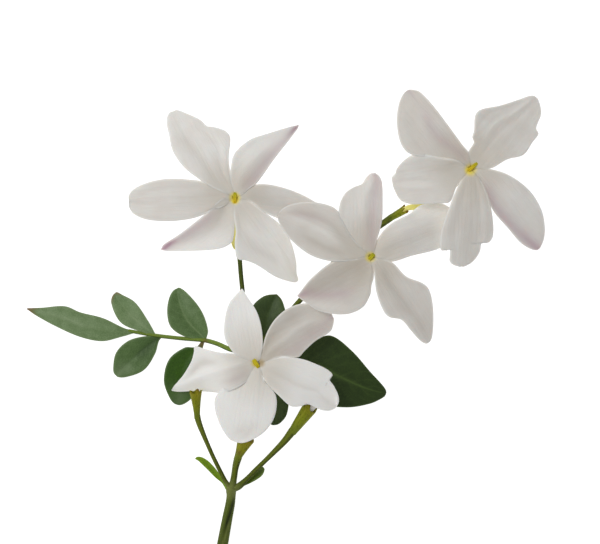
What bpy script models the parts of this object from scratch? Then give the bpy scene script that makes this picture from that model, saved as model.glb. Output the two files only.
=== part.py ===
"""A cut sprig of jasmine lying on a surface, modelled at its real size.

The sprig has one branching stem, two pinnate leaves, two small bracts, four open flowers, a bud
and an empty calyx. It lies with +Z up, its cut end toward -Y, and Z = 0 is the surface. Every
number below is in millimetres or degrees unless its name says otherwise; the meshes are written
in metres.
"""
import math

import bmesh
import bpy
import numpy as np
from mathutils import Vector

MM = 0.001

# Driving dimensions
BLADE = 0.6             # thickness of petals, leaflets and bracts
SEAT_GAP = 0.3          # clearance between pieces that touch on the real sprig
SHARP_ANGLE = 45        # edges that bend more than this are drawn sharp
STEM_SIDES = 8
TUBE_SIDES = 10
PETAL_ROWS, PETAL_COLUMNS = 11, 5
LEAFLET_ROWS, LEAFLET_COLUMNS = 9, 4
BRACT_ROWS, BRACT_COLUMNS = 7, 4

# Where a blade starts from its own origin, and its half width there
CLAW = (0.9, 0.8)       # petals, sunk in the flare of the corolla tube
LEAFLET_FOOT = (-0.1, 0.3)
BRACT_FOOT = (0.0, 0.3)
TIP_HALF_WIDTH = 0.25
SHARP_TIP_HALF_WIDTH = 0.1
LIFT_END = 0.7          # the share of a blade's length over which its lift dies away
FORM_ROWS = 64          # fineness of the calm outline that carries a blade's heights
FORM_PASSES = 30        # how often it is smoothed

# The blind hole in the middle of a flower
THROAT_RADIUS = 1.45
THROAT_DEPTH = 1.7
THROAT_FLOOR_RADIUS = 0.75
THROAT_CLEAR = 1.5      # height above the petals that the hole is cut through

# The corolla tube
TUBE_SAMPLES = 16
TUBE_SEAT_SHARE = 0.85  # its radius inside the calyx, as a share of that at the calyx's mouth
TUBE_GROWTH = 0.12      # what its radius gains at each point of its route
FUNNEL = ((2.6, 0.95), (1.2, 1.25), (-0.2, 2.0))    # depth under the petals, and radius

# Anthers: two cells side by side on a filament
ANTHER_SAMPLES = 7
ANTHER_SIDES = 8
ANTHER_END_RADIUS = 0.12
ANTHER_DEPTH = 0.1      # how far they lie under the mouth of the throat
FILAMENT_RADII = (0.3, 0.34)

RACHIS_SAMPLES = 4      # points of a leaf's stalk to each one of its route
RACHIS_SIDES = 8
BUD_SAMPLES = 10

WHITE = (0.86, 0.85, 0.83, 1.0)
ANTHER_YELLOW = (0.70, 0.55, 0.05, 1.0)
STEM_GREEN = (0.11, 0.16, 0.04, 1.0)
CALYX_GREEN = (0.16, 0.20, 0.04, 1.0)
LEAF_GREEN = (0.05, 0.10, 0.035, 1.0)
BRACT_GREEN = (0.12, 0.25, 0.02, 1.0)

# Petals: heading of the axis, the left and right edges and the tip as (along, out) from the
# flower's centre, the height half way and at the tip above the flower's own plane, and how far
# the edges stand over the middle. Some have a twist, which is how far the left edge stands over
# the right, a lift, which is a swelling near the foot, and a sharp tip.
PETALS_A = (
    dict(heading=118.9,
         left=((3, 2.2), (4.3, 3.2), (7.2, 4.8), (11.2, 6.5), (15.5, 7), (19.2, 6), (22, 5.1),
               (23.4, 3.8)),
         right=((4.9, -1.7), (8.4, -3.1), (12.1, -5.5), (14, -5.2), (16, -3.4), (16.8, -2.3),
                (18.8, -1.6), (21.7, 0.5)),
         tip=(23.3, 2.3), mid=-1.4, end=-6.9, cup=0.3, lift=0.5),
    dict(heading=48,
         left=((2.4, 3.7), (4, 4.9), (7.2, 6.6), (11.7, 6.1), (15.2, 4.2), (19.7, 1.5)),
         right=((3.4, -1), (5.8, -1.4), (12.2, -0.7), (20.2, -0.1)),
         tip=(21.2, 0.3), mid=0.3, end=-1.6, cup=0.2, twist=0.4, lift=-0.1, sharp=True),
    dict(heading=-5,
         left=((3.1, 2.9), (6.3, 3.6), (10.8, 3.1), (14.9, 1.9)),
         right=((3.4, -0.5), (6.9, -2.7), (12.5, -4), (16.4, -2.5)),
         tip=(19.5, -0.3), mid=-0.6, end=-3.0, cup=0.2, sharp=True),
    dict(heading=-55.8,
         left=((2.5, 2.3), (6.5, 3.7), (10.5, 4.9), (15, 4.7), (19.2, 3.2), (21.1, 2)),
         right=((3, -2.3), (6.3, -4), (7.8, -5.3), (9.6, -6.4), (10.9, -7), (11.8, -6.8),
                (12.5, -5.9), (14.6, -4.4), (19.2, -2.4), (22, -0.3)),
         tip=(22.8, 1), mid=-1.2, end=-5.7, cup=0.3, twist=-0.3, lift=0.3),
    dict(heading=-144.5,
         left=((2.2, 3.1), (4.6, 6.2), (5.9, 7.4), (7, 7.6), (8.7, 7.3), (11.1, 6.1), (14.8, 3.7),
               (18.6, 1.1)),
         right=((2.5, -1.5), (7.7, -0.9), (14.5, -0.6), (18.6, -0.8)),
         tip=(19.8, -0.2), mid=-1.0, end=-5.0, cup=0.4, twist=0.15, lift=0.12, sharp=True),
    dict(heading=-177.6,
         left=((2.8, 1.9), (4.5, 2.4), (9, 4), (14.6, 4.5), (19.6, 3.9), (22.3, 2.6), (23.3, 1.1)),
         right=((2.7, -2.6), (5, -3.4), (8.6, -4.3), (15.2, -4.8), (19.7, -4), (22.4, -2.7),
                (23.4, -1.3)),
         tip=(23, 0.1), mid=-1.2, end=-5.5, cup=0.2),
)
PETALS_B = (
    dict(heading=90.3,
         left=((2.75, 3.6), (4.95, 5.4), (7.15, 6.5), (9.35, 7.1), (10.7, 6.95), (12.4, 6.5),
               (14, 5.5), (15.2, 3.8), (15.95, 1.9), (17.2, 1.1)),
         right=((3.2, -1.2), (7.6, -2.4), (12.4, -2.6), (16.2, -2.5), (17.6, -1.9)),
         tip=(18.3, -0.5), mid=0.2, end=-1.5, cup=0.1, twist=-1.0),
    dict(heading=22.2,
         left=((3.4, 3.5), (6.7, 5), (11.2, 5.5), (14.5, 6.3), (18.6, 5.1)),
         right=((3.5, -2.7), (8.1, -3.2), (14.9, -4), (18.8, -2.6)),
         tip=(20.8, 1.2), mid=-0.6, end=-3.2, cup=-0.4, twist=0.5, lift=0.8),
    dict(heading=-57.9,
         left=((3.4, 3.2), (7.7, 4.2), (11, 6.5), (13, 6.9), (16.8, 5.5), (21.6, 2.4)),
         right=((3.2, -1.3), (7.4, -3.2), (11.6, -4), (13.4, -3.6), (15.3, -1.7), (18.3, -1.2),
                (21.5, -0.6)),
         tip=(22.7, 0.6), mid=-0.6, end=-4.0, cup=0.5, twist=-0.4, lift=-0.1),
    dict(heading=-152.4,
         left=((0.9, 2.9), (1.7, 4.45), (2.8, 5.6), (3.9, 7.2), (6.8, 9), (10.8, 8.6), (15.4, 5.5),
               (17.4, 2.2)),
         right=((3.4, -1.2), (7.4, -2.9), (13.6, -1.9)),
         tip=(18.3, 0.2), mid=0.0, end=-2.6, cup=0.5, lift=-0.3, sharp=True),
    dict(heading=156.4,
         left=((3.7, 2.7), (7.8, 4.5), (12.3, 5), (17.5, 3.7), (20.7, 1.8)),
         right=((3.9, -1.5), (6.3, -2.7), (8.6, -4.5), (11, -6.4), (13.8, -6.5), (18, -5.2),
                (21, -3.1), (22.2, -1.3)),
         tip=(22.2, 0.0), mid=-0.2, end=-2.2, cup=-0.4, twist=0.6, lift=0.7),
)
PETALS_C = (
    dict(heading=129.3,
         left=((4, 2), (9.1, 7), (11.5, 8.6), (14.5, 8.3), (18.5, 5.9), (21, 3.2), (22, 1.3)),
         right=((3, -1.8), (5.2, -1.8), (10.5, -2.1), (16.3, -2.3), (20.2, -2), (21.5, -1.3)),
         tip=(22.1, 0.0), mid=-0.6, end=-4.6, cup=0.4),
    dict(heading=48.9,
         left=((2, 2.7), (3, 3), (4.7, 3.3), (5.3, 4.3), (6.7, 5), (9.4, 7), (11.1, 6.9), (14.6, 4.3),
               (18.6, 1.9), (20.4, 0.9)),
         right=((2.9, -3.3), (6.7, -4.7), (9.8, -6.7), (13.4, -6.4), (15.5, -6.2), (16.1, -5),
                (19.3, -3.7), (21.1, -1.5)),
         tip=(21.3, -0.3), mid=-0.4, end=-3.7, cup=0.5, lift=0.1),
    dict(heading=-50.5,
         left=((2.9, 3.3), (6.6, 5.6), (12, 6.9), (17.1, 6.2), (20.7, 4.2), (22.2, 2.7),
               (22.9, 1.5)),
         right=((4.3, -0.4), (10.1, -2.1), (15.5, -2), (19.2, -1.9), (21.6, -1.2)),
         tip=(23.2, 0.3), mid=-2.2, end=-7.97, cup=0.4, lift=0.4),
    dict(heading=-93.5,
         left=((2.9, 2.6), (6.8, 4.4), (11.1, 5.5), (14.6, 5.7), (16, 4.8), (15.9, 3.4),
               (17.9, 3.1), (19.4, 2.4), (20.7, 1.3)),
         right=((3.5, -2.4), (8.9, -4.3), (13.6, -5.6), (16.2, -5.8), (18.3, -5.4), (18, -3.6),
                (19.4, -3.5), (20.6, -3.4), (21.3, -2.6)),
         tip=(21.6, -0.7), mid=0.0, end=-3.0, cup=-0.4, twist=-0.4, lift=0.7),
    dict(heading=-170.6,
         left=((2.1, 1.7), (3.9, 3.6), (5.8, 6.5), (8.5, 6.3), (12.3, 5.9), (14.5, 5.5),
               (16.4, 4.3), (17.3, 2)),
         right=((3.1, -2.5), (5.3, -3.1), (8.4, -4.3), (11.6, -5.1), (14, -4.3), (16.1, -2.6),
                (16.5, -1.7), (17.4, -1)),
         tip=(17.5, 0.3), mid=-0.2, end=-3.0, cup=0.4, lift=0.25),
)
PETALS_D = (
    dict(heading=101.6,
         left=((2.5, 4), (3.9, 5), (6.8, 5.9), (10.3, 5.3), (14.1, 3.5)),
         right=((3.8, -1.9), (7.5, -2.4), (11.1, -2.1), (14.3, -0.9)),
         tip=(16.7, 0.1), mid=0.2, end=-1.5, cup=0.5, lift=-0.1, sharp=True),
    dict(heading=29.7,
         left=((2.5, 2.4), (5, 4.8), (8.3, 6.6), (12.1, 7.2), (15.8, 6.2), (17.8, 4.3),
               (19.1, 2.2)),
         right=((5, -1.2), (8.4, -3.2), (10.3, -2.7), (13.4, -2), (17.3, -1.8), (18.8, -0.6)),
         tip=(19.4, 0.8), mid=-0.1, end=-1.4, cup=0.4, twist=0.6, lift=-0.2),
    dict(heading=-24.9,
         left=((2.1, 1.9), (3.9, 3.3), (8, 4.9), (12.7, 5.3), (15, 5.1), (16, 4.5), (15.7, 3.5),
               (17.3, 2.5), (19.1, 0.9)),
         right=((3.7, -3.2), (7, -4.4), (10.4, -5.4), (12.4, -4.8), (13.6, -3.8), (16.7, -3.5),
                (18.6, -2.8)),
         tip=(19.7, -1), mid=-0.4, end=-3.3, cup=-0.4, twist=1.0),
    dict(heading=-99.2,
         left=((3.3, 1.9), (6.4, 5.1), (10.9, 5.5), (14.6, 3.8), (17, 1)),
         right=((3.3, -2.6), (6.2, -6.3), (9.2, -8), (13.4, -6.7), (17.2, -3.7)),
         tip=(17.8, -1.3), mid=-0.6, end=-3.9, cup=-0.5, twist=0.6, lift=0.15),
    dict(heading=-161.6,
         left=((3.2, 2.9), (7, 3.8), (9.1, 3.8), (11.9, 2.6), (15.4, 1.3), (18.6, 0.4)),
         right=((3.1, -3.1), (7.1, -4.9), (9.9, -6.6), (11.9, -7.9), (12.5, -6.7), (13.7, -5),
                (16.2, -2.8), (19.1, -1)),
         tip=(19.8, -0.3), mid=-2.2, end=-7.5, cup=-0.4, twist=-0.6, lift=1.75, sharp=True),
)

# Flowers: centre of the throat, slope of the flower's plane along X and Y, the heading, half
# length and half width of the anthers, the route of the corolla tube from its calyx to under the
# throat, and its radius in the mouth of the calyx.
FLOWERS = {
    "a": dict(centre=(-11.2, 28.05, 9.0), slope=(-0.04, -0.12), petals=PETALS_A,
              anthers=(88, 1.0, 0.45), foot_radius=0.4,
              tube=((-11.2, 17.4, 5.5), (-11.6, 19.5, 6.0), (-11.4, 21.8, 6.3), (-11.2, 24.8, 6.6))),
    "b": dict(centre=(18.6, 15.2, 11.5), slope=(-0.06, -0.05), petals=PETALS_B,
              anthers=(48, 0.8, 0.5), foot_radius=0.5,
              tube=((15.2, 12.0, 6.7), (17.7, 14.3, 7.8))),
    "c": dict(centre=(40.5, 34.5, 10.0), slope=(-0.14, -0.02), petals=PETALS_C,
              anthers=(40, 1.05, 0.4), foot_radius=0.45,
              tube=((28.5, 26.1, 6.0), (30.4, 26.6, 6.1), (34.5, 29.2, 6.3), (38.2, 32.7, 6.6))),
    "d": dict(centre=(-6.2, -8.2, 11.0), slope=(-0.02, -0.08), petals=PETALS_D,
              anthers=(123, 1.0, 0.5), foot_radius=0.75,
              tube=((-7.2, -18.0, 6.7), (-6.8, -12.2, 7.3))),
}

# Calyces: foot and mouth of the cup, its outer radius at each, the power by which it widens, the
# length of its teeth, how far they are turned about it and the share of that length that each has.
TEETH = 5
TOOTH_RISE = (1.0, 0.35, 0.0, 0.35)     # the rim from one tooth to the next, in four steps
CALYX_LEVELS = 4
CALYX_WALL = 0.38
CALYX_FLOOR = 0.5       # share of the cup's length that its solid base takes up
CALYCES = {
    "a": dict(foot=(-10.23, 14.8, 4.76), mouth=(-10.4, 15.9, 4.95), radii=(0.6, 1.05), bell=0.7,
              tooth=0.4, turn=0, teeth=(1, 1, 1, 1, 1)),
    "b": dict(foot=(8.3, 7.5, 5.0), mouth=(11.0, 8.9, 5.4), radii=(0.6, 1.2), bell=0.7, tooth=1.5,
              turn=0, teeth=(1, 1, 1, 1, 1)),
    "c": dict(foot=(23.0, 23.7, 4.9), mouth=(25.5, 25.15, 5.6), radii=(0.66, 1.05), bell=0.8,
              tooth=1.2, turn=30, teeth=(0.7, 1.15, 0.8, 1, 0.8)),
    "d": dict(foot=(-10.7, -29.2, 3.45), mouth=(-8.8, -24.8, 4.9), radii=(0.76, 1.9), bell=1.35,
              tooth=0.3, turn=36, teeth=(1, 1, 1, 1, 1)),
    "left": dict(foot=(-19.48, -20.0, 7.4), mouth=(-19.8, -14.6, 8.9), radii=(0.65, 1.32), bell=1.6,
                 tooth=1.25, turn=5, teeth=(0.4, 1, 0.3, 0.3, 0.3)),
    "right": dict(foot=(1.45, -23.2, 5.1), mouth=(5.1, -18.15, 6.0), radii=(0.92, 1.62), bell=0.95,
                  tooth=1.3, turn=35, teeth=(0.9, 0.15, 1, 0.5, 0.5)),
}

# The bud rises out of the right calyx and lies under a petal of flower D. Points are
# (x, y, z, radius).
BUD_ROUTE = ((4.1, -19.4, 5.85, 0.7), (5.5, -17.4, 6.15, 0.85), (7.3, -15.0, 6.4, 1.1),
             (8.9, -12.9, 6.6, 0.25))

# Branches of the stem as (x, y, z, radius).
NODE_LOWER = (-12.06, -35.97, 1.8)
NODE_UPPER = (-9.0, -5.8, 4.3)
STEM_BRANCHES = (
    ((-14.62, -52.0, 1.0, 1.14), (-13.96, -48.0, 1.0, 1.14), (-12.85, -42.0, 1.0, 1.05),
     (-12.3, -39.2, 1.15, 0.99), (*NODE_LOWER, 1.07), (-11.6, -34.2, 1.8, 0.7),
     (-11.0, -30.0, 1.7, 0.62), (-10.3, -27.4, 1.75, 0.6), (-9.9, -24.0, 2.1, 0.6),
     (-9.8, -20.0, 2.9, 0.6), (-9.4, -13.0, 3.9, 0.6), (*NODE_UPPER, 0.85),
     (-9.1, -3.8, 4.4, 0.55), (-9.25, 1.2, 4.4, 0.5), (-9.58, 7.8, 4.5, 0.48),
     (-9.91, 11.2, 4.6, 0.47), (-10.2, 14.5, 4.7, 0.45)),
    ((-9.2, -6.2, 4.25, 0.5), (-6.8, -4.3, 4.9, 0.5), (-3.0, -1.4, 5.3, 0.5),
     (-0.2, 1.65, 5.2, 0.5), (1.9, 4.3, 5.0, 0.5), (3.8, 6.4, 4.9, 0.55), (7.0, 10.2, 4.6, 0.5),
     (11.0, 14.4, 4.3, 0.5), (15.9, 18.6, 4.2, 0.5), (20.4, 21.9, 4.4, 0.6),
     (22.77, 23.52, 4.83, 0.64)),
    ((3.4, 6.4, 4.9, 0.45), (5.4, 6.6, 4.9, 0.45), (8.05, 7.37, 4.97, 0.5)),
    ((-12.0, -35.8, 1.8, 0.5), (-13.22, -34.3, 2.2, 0.46), (-14.52, -31.8, 3.2, 0.44),
     (-16.02, -28.7, 4.4, 0.43), (-17.2, -26.0, 5.4, 0.45), (-18.28, -23.4, 6.3, 0.52),
     (-19.15, -21.2, 7.0, 0.6), (-19.42, -20.3, 7.32, 0.63)),
    ((-12.0, -35.9, 1.8, 0.55), (-10.42, -35.2, 2.0, 0.56), (-8.59, -33.6, 2.35, 0.51),
     (-6.84, -31.8, 2.9, 0.49), (-4.57, -29.6, 3.6, 0.5), (-2.35, -27.4, 4.25, 0.58),
     (-0.25, -25.2, 4.75, 0.71), (1.22, -23.44, 5.05, 0.86)),
    ((-11.75, -34.4, 1.8, 0.6), (-11.22, -31.8, 2.3, 0.63), (-10.83, -29.47, 3.33, 0.7)),
)
STEM_STEP = 1.6         # mean length of a stem segment
STEM_RIDGE = 0.05       # the stem is angular: its radius varies by this share round it
STEM_RIDGES = 4
STEM_MIN_SAMPLES = 5
CUT_REACH = 70.0        # the stem's underside is planed flat where it meets the surface
CUT_DEPTH = 5.0

# Leaves: the rachis as (x, y, z, radius), and leaflets from their foot, described as petals are.
LEAVES = {
    "left": dict(
        rachis=((-10.2, -5.6, 4.3, 0.52), (-12.3, -5.15, 4.3, 0.5), (-15.2, -3.9, 4.3, 0.48),
                (-17.8, -3.2, 4.2, 0.46), (-23.1, -2.75, 3.8, 0.42), (-28.8, -2.1, 3.2, 0.4),
                (-34.6, -1.1, 2.5, 0.36)),
        leaflets=(
            dict(foot=(-33.4, -1.3, 2.6), heading=167.9,
                 left=((2.3, 1.6), (6.4, 3.5), (11.4, 3.6), (17.3, 2.4), (22, 1)),
                 right=((2.1, -0.3), (7.3, -1.5), (12.5, -1.7), (16, -2.3), (21, -0.9)),
                 tip=(24.1, 0), mid=-0.3, end=-2.3, cup=0.3, sharp=True),
            dict(foot=(-17.8, -2.9, 4.2), heading=117.7,
                 left=((2.7, 3.8), (5.8, 5.4), (8.9, 4.7), (11.8, 2.6)),
                 right=((1.4, -1.5), (5.6, -2.2), (10.2, -1.4)),
                 tip=(12.7, 0.2), mid=0.2, end=-0.6, cup=0.35),
            dict(foot=(-18.2, -3.4, 4.1), heading=-110.7,
                 left=((1.9, 0.5), (5.2, 1.1), (11, 2.4), (13.8, 1.4)),
                 right=((1.7, -1.0), (2.7, -3.3), (6.3, -5.6), (11, -5.1), (14, -2.8)),
                 tip=(15.1, -0.6), mid=-0.7, end=-2.2, cup=0.35),
            dict(foot=(-29.0, -1.9, 3.2), heading=132.5,
                 left=((2, 1.5), (6.8, 3.6), (11.4, 2.3)),
                 right=((3.3, -1.1), (8, -1.7), (11, -0.8)),
                 tip=(12.5, 0.2), mid=0.2, end=-0.3, cup=0.35),
            dict(foot=(-27.6, -2.4, 3.15), heading=-137.9,
                 left=((0.9, 0.5), (3.4, 2.0), (7.6, 3.0), (11.6, 1.5)),
                 right=((1.6, -1.8), (5.6, -4.0), (9.4, -4.0), (12.2, -2.0)),
                 tip=(13.0, -0.3), mid=-0.2, end=-1.0, cup=0.35),
        )),
    "right": dict(
        rachis=((-7.8, -6.05, 4.3, 0.5), (-6.2, -6.5, 4.25, 0.48), (-3.9, -7.2, 4.2, 0.46),
                (1.4, -7.9, 3.95, 0.42)),
        leaflets=(
            dict(foot=(0.5, -7.6, 4.0), heading=-18.1,
                 left=((1.5, 1.7), (4.2, 6.0), (7.2, 8.1), (12.5, 6.4), (18.1, 3.1)),
                 right=((1.5, -1.5), (5, -5), (9.6, -6.8), (15.5, -5.8), (21.6, -2.2)),
                 tip=(22.7, 0), mid=-0.6, end=-3.7, cup=0.35),
            dict(foot=(-5.3, -6.6, 4.15), heading=77.2,
                 left=((2.6, 1.3), (5.9, 3.6), (9.5, 4.4), (12.6, 2.4)),
                 right=((3, -0.8), (8, -3.4), (11.2, -2.8)),
                 tip=(13.8, -0.1), mid=-0.7, end=-1.2, cup=0.35),
            dict(foot=(-3.9, -7.4, 4.1), heading=-84.6,
                 left=((2.5, 1.1), (7.6, 3.5), (12.4, 2.9)),
                 right=((2.7, -0.6), (8.3, -2.5), (12.8, -1.8)),
                 tip=(14.5, 0.1), mid=-0.6, end=-2.0, cup=0.35),
        )),
}

# Bracts at the lower node.
BRACTS = {
    "left": dict(foot=(-13.49, -35.41, 1.15), heading=136.8,
                 left=((1.0, -0.2), (2.9, -0.1), (5.6, -0.2), (8.2, -0.2)),
                 right=((1.0, -0.9), (2.9, -1.3), (5.0, -1.6), (6.7, -1.65), (8.2, -1.3)),
                 tip=(9.0, -0.3), mid=0.0, end=0.8, cup=0.25),
    "right": dict(foot=(-9.51, -35.03, 0.85), heading=40.2,
                  left=((0.5, 0.5), (2.5, 0.8), (4.2, 0.9), (5.6, 0.6)),
                  right=((1.5, -0.5), (3.2, -0.8), (4.6, -0.8), (5.6, -0.5)),
                  tip=(6.0, 0.0), mid=0.0, end=0.5, cup=0.25),
}


def clear_scene():
    for old in list(bpy.data.objects):
        bpy.data.objects.remove(old, do_unlink=True)


def make_material(name, colour, roughness):
    material = bpy.data.materials.new(name)
    material.use_nodes = True
    shader = material.node_tree.nodes["Principled BSDF"]
    shader.inputs["Base Color"].default_value = colour
    shader.inputs["Roughness"].default_value = roughness
    shader.inputs["Metallic"].default_value = 0.0
    material.diffuse_color = colour
    return material


def smooth_points(points, count, beyond=None):
    """Reads count points, evenly spread, from a smooth curve through the given ones.

    The curve leaves its last point toward the one beyond, where there is one.
    """
    points = np.array(points, float)
    chords = np.linalg.norm(np.diff(points, axis=0), axis=1)
    knots = np.concatenate([[0.0], np.cumsum(chords)])
    low = np.maximum(np.arange(len(points)) - 1, 0)
    high = np.minimum(np.arange(len(points)) + 1, len(points) - 1)
    slopes = (points[high] - points[low]) / (knots[high] - knots[low])[:, None]
    if beyond is not None:
        onward = np.array(beyond, float)
        slopes[-1] = (onward - points[-2]) / (chords[-1] + np.linalg.norm(onward - points[-1]))
    places = np.linspace(0.0, knots[-1], count)
    segment = np.clip(np.searchsorted(knots, places, side="left") - 1, 0, len(points) - 2)
    span = chords[segment][:, None]
    s = (places - knots[segment])[:, None] / span
    return ((2 * s ** 3 - 3 * s ** 2 + 1) * points[segment]
            + (s ** 3 - 2 * s ** 2 + s) * span * slopes[segment]
            + (3 * s ** 2 - 2 * s ** 3) * points[segment + 1]
            + (s ** 3 - s ** 2) * span * slopes[segment + 1])


def new_object(name, vertices, faces, material):
    """Makes a closed mesh, given in millimetres, with its faces turned outward."""
    mesh = bpy.data.meshes.new(name)
    mesh.from_pydata([[c * MM for c in v] for v in vertices], [], faces)
    bm = bmesh.new()
    bm.from_mesh(mesh)
    bmesh.ops.recalc_face_normals(bm, faces=bm.faces)
    bm.to_mesh(mesh)
    bm.free()
    mesh.materials.append(material)
    mesh.shade_smooth()
    mesh.set_sharp_from_angle(angle=math.radians(SHARP_ANGLE))
    made = bpy.data.objects.new(name, mesh)
    bpy.context.scene.collection.objects.link(made)
    return made


def boolean(target, others, operation, solver="EXACT"):
    """Applies one Boolean with all the other objects, and removes them."""
    group = bpy.data.collections.new(target.name + "_tools")
    bpy.context.scene.collection.children.link(group)
    for other in others:
        bpy.context.scene.collection.objects.unlink(other)
        group.objects.link(other)
    modifier = target.modifiers.new("Join", "BOOLEAN")
    modifier.operation = operation
    modifier.operand_type = "COLLECTION"
    modifier.collection = group
    modifier.solver = solver
    graph = bpy.context.evaluated_depsgraph_get()
    merged = bpy.data.meshes.new_from_object(target.evaluated_get(graph))
    target.modifiers.clear()
    target.data = merged
    merged.shade_smooth()
    merged.set_sharp_from_angle(angle=math.radians(SHARP_ANGLE))
    for other in others:
        bpy.data.objects.remove(other, do_unlink=True)
    bpy.data.collections.remove(group)
    return target


def swept(name, route, sides, material, ridge=0.0):
    """A closed rod along a smooth route of (x, y, z, radius), with flat ends."""
    centres = [Vector(p[:3]) for p in route]
    tangents = []
    for i in range(len(centres)):
        ahead, behind = centres[min(i + 1, len(centres) - 1)], centres[max(i - 1, 0)]
        tangents.append((ahead - behind).normalized())
    across = tangents[0].cross(Vector((0, 0, 1))).normalized()
    vertices, faces = [], []
    for i, (centre, tangent) in enumerate(zip(centres, tangents)):
        across = (across - tangent * across.dot(tangent)).normalized()
        upward = across.cross(tangent)
        for k in range(sides):
            angle = 2 * math.pi * (k + 0.5) / sides
            radius = route[i][3] * (1 + ridge * math.cos(STEM_RIDGES * angle))
            offset = across * math.cos(angle) + upward * math.sin(angle)
            vertices.append(centre + offset * radius)
    for i in range(len(centres) - 1):
        for k in range(sides):
            here, after = i * sides + k, i * sides + (k + 1) % sides
            faces.append((here, after, after + sides, here + sides))
    faces.append(tuple(range(sides)))
    faces.append(tuple((len(centres) - 1) * sides + k for k in range(sides)))
    return new_object(name, vertices, faces, material)


def form_places(left, right, along, out, length):
    """Where points lie on the calm form of a blade, whose outline has no notches.

    Gives t along it, from 0 to 1, and v across it, from -1 at its left edge to 1 at its right.
    """
    left, right = left.copy(), right.copy()
    for line in (left, right):
        for _ in range(FORM_PASSES):
            line[1:-1] = (line[:-2] + 2 * line[1:-1] + line[2:]) / 4
    stations = np.maximum.accumulate((left[:, 0] + right[:, 0]) / 2)
    half = np.interp(along, stations, (left[:, 1] - right[:, 1]) / 2)
    middle = np.interp(along, stations, (left[:, 1] + right[:, 1]) / 2)
    return np.clip(along / length, 0, 1), np.clip((middle - out) / half, -1, 1)


def blade(name, shape, foot, slope, rows, columns, root, material):
    """A waved blade of even thickness between two edges, split alike on both faces."""
    heading = math.radians(shape["heading"])
    tip_along, tip_out = shape["tip"]
    root_start, root_half = root
    sharp = shape.get("sharp", False)
    tip_half = SHARP_TIP_HALF_WIDTH if sharp else TIP_HALF_WIDTH
    borders = []
    for side, key, other in ((1, "left", "right"), (-1, "right", "left")):
        line = ((root_start, side * root_half), *shape[key],
                (tip_along, tip_out + side * tip_half))
        beyond = None if sharp else shape[other][-1]
        borders.append([smooth_points(line, count + 1, beyond) for count in (rows, FORM_ROWS)])
    (left, form_left), (right, form_right) = borders
    u = np.linspace(0.0, 1.0, columns + 1)[None, :]
    along = left[:, :1] * (1 - u) + right[:, :1] * u
    out = left[:, 1:] * (1 - u) + right[:, 1:] * u
    x = along * math.cos(heading) - out * math.sin(heading)
    y = along * math.sin(heading) + out * math.cos(heading)
    t, v = form_places(form_left, form_right, along, out, tip_along)
    z = slope[0] * x + slope[1] * y
    z = z + 4 * shape["mid"] * t * (1 - t) + shape["end"] * t * (2 * t - 1)
    z = z + shape["cup"] * np.sin(math.pi * t) * v ** 2 - shape.get("twist", 0) * t * v
    z = z + shape.get("lift", 0) * np.sin(math.pi * np.minimum(t / LIFT_END, 1.0)) ** 2
    middle = np.stack([foot[0] + x, foot[1] + y, foot[2] + z], axis=-1)
    normal = np.cross(np.gradient(middle, axis=1), np.gradient(middle, axis=0))
    normal *= BLADE / 2 / np.linalg.norm(normal, axis=-1, keepdims=True)
    top, bottom = (middle + normal).reshape(-1, 3), (middle - normal).reshape(-1, 3)
    wide = columns + 1
    under = len(top)
    faces = []
    for i in range(rows):
        for j in range(columns):
            a, b = i * wide + j, i * wide + j + 1
            c, d = a + wide, b + wide
            faces += [(a, b, d), (a, d, c), (a + under, d + under, b + under),
                      (a + under, c + under, d + under)]
    rim = [j for j in range(wide)] + [i * wide + columns for i in range(1, rows + 1)]
    rim += [rows * wide + j for j in range(columns - 1, -1, -1)]
    rim += [i * wide for i in range(rows - 1, 0, -1)]
    for here, after in zip(rim, rim[1:] + rim[:1]):
        faces += [(here, after, after + under), (here, after + under, here + under)]
    return new_object(name, np.concatenate([top, bottom]).tolist(), faces, material)


def disc_frame(direction):
    """Two unit vectors square to a direction and to each other."""
    across = direction.cross(Vector((0, 0, 1))).normalized()
    return across, across.cross(direction)


def make_stem(material):
    rods = []
    for index, branch in enumerate(STEM_BRANCHES):
        length = sum(math.dist(a[:3], b[:3]) for a, b in zip(branch, branch[1:]))
        route = smooth_points(branch, max(STEM_MIN_SAMPLES, round(length / STEM_STEP)))
        rods.append(swept("stem_%d" % index, route, STEM_SIDES, material, STEM_RIDGE))
    stem = boolean(rods[0], rods[1:], "UNION")
    stem.name = "stem"
    corners = ((-1, -1), (1, -1), (1, 1), (-1, 1))
    slab = [(x * CUT_REACH, y * CUT_REACH, z) for z in (-CUT_DEPTH, 0) for x, y in corners]
    sides = [(0, 1, 2, 3), (4, 5, 6, 7)]
    sides += [(k, (k + 1) % 4, 4 + (k + 1) % 4, 4 + k) for k in range(4)]
    return boolean(stem, [new_object("slab", slab, sides, material)], "DIFFERENCE")


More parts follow.
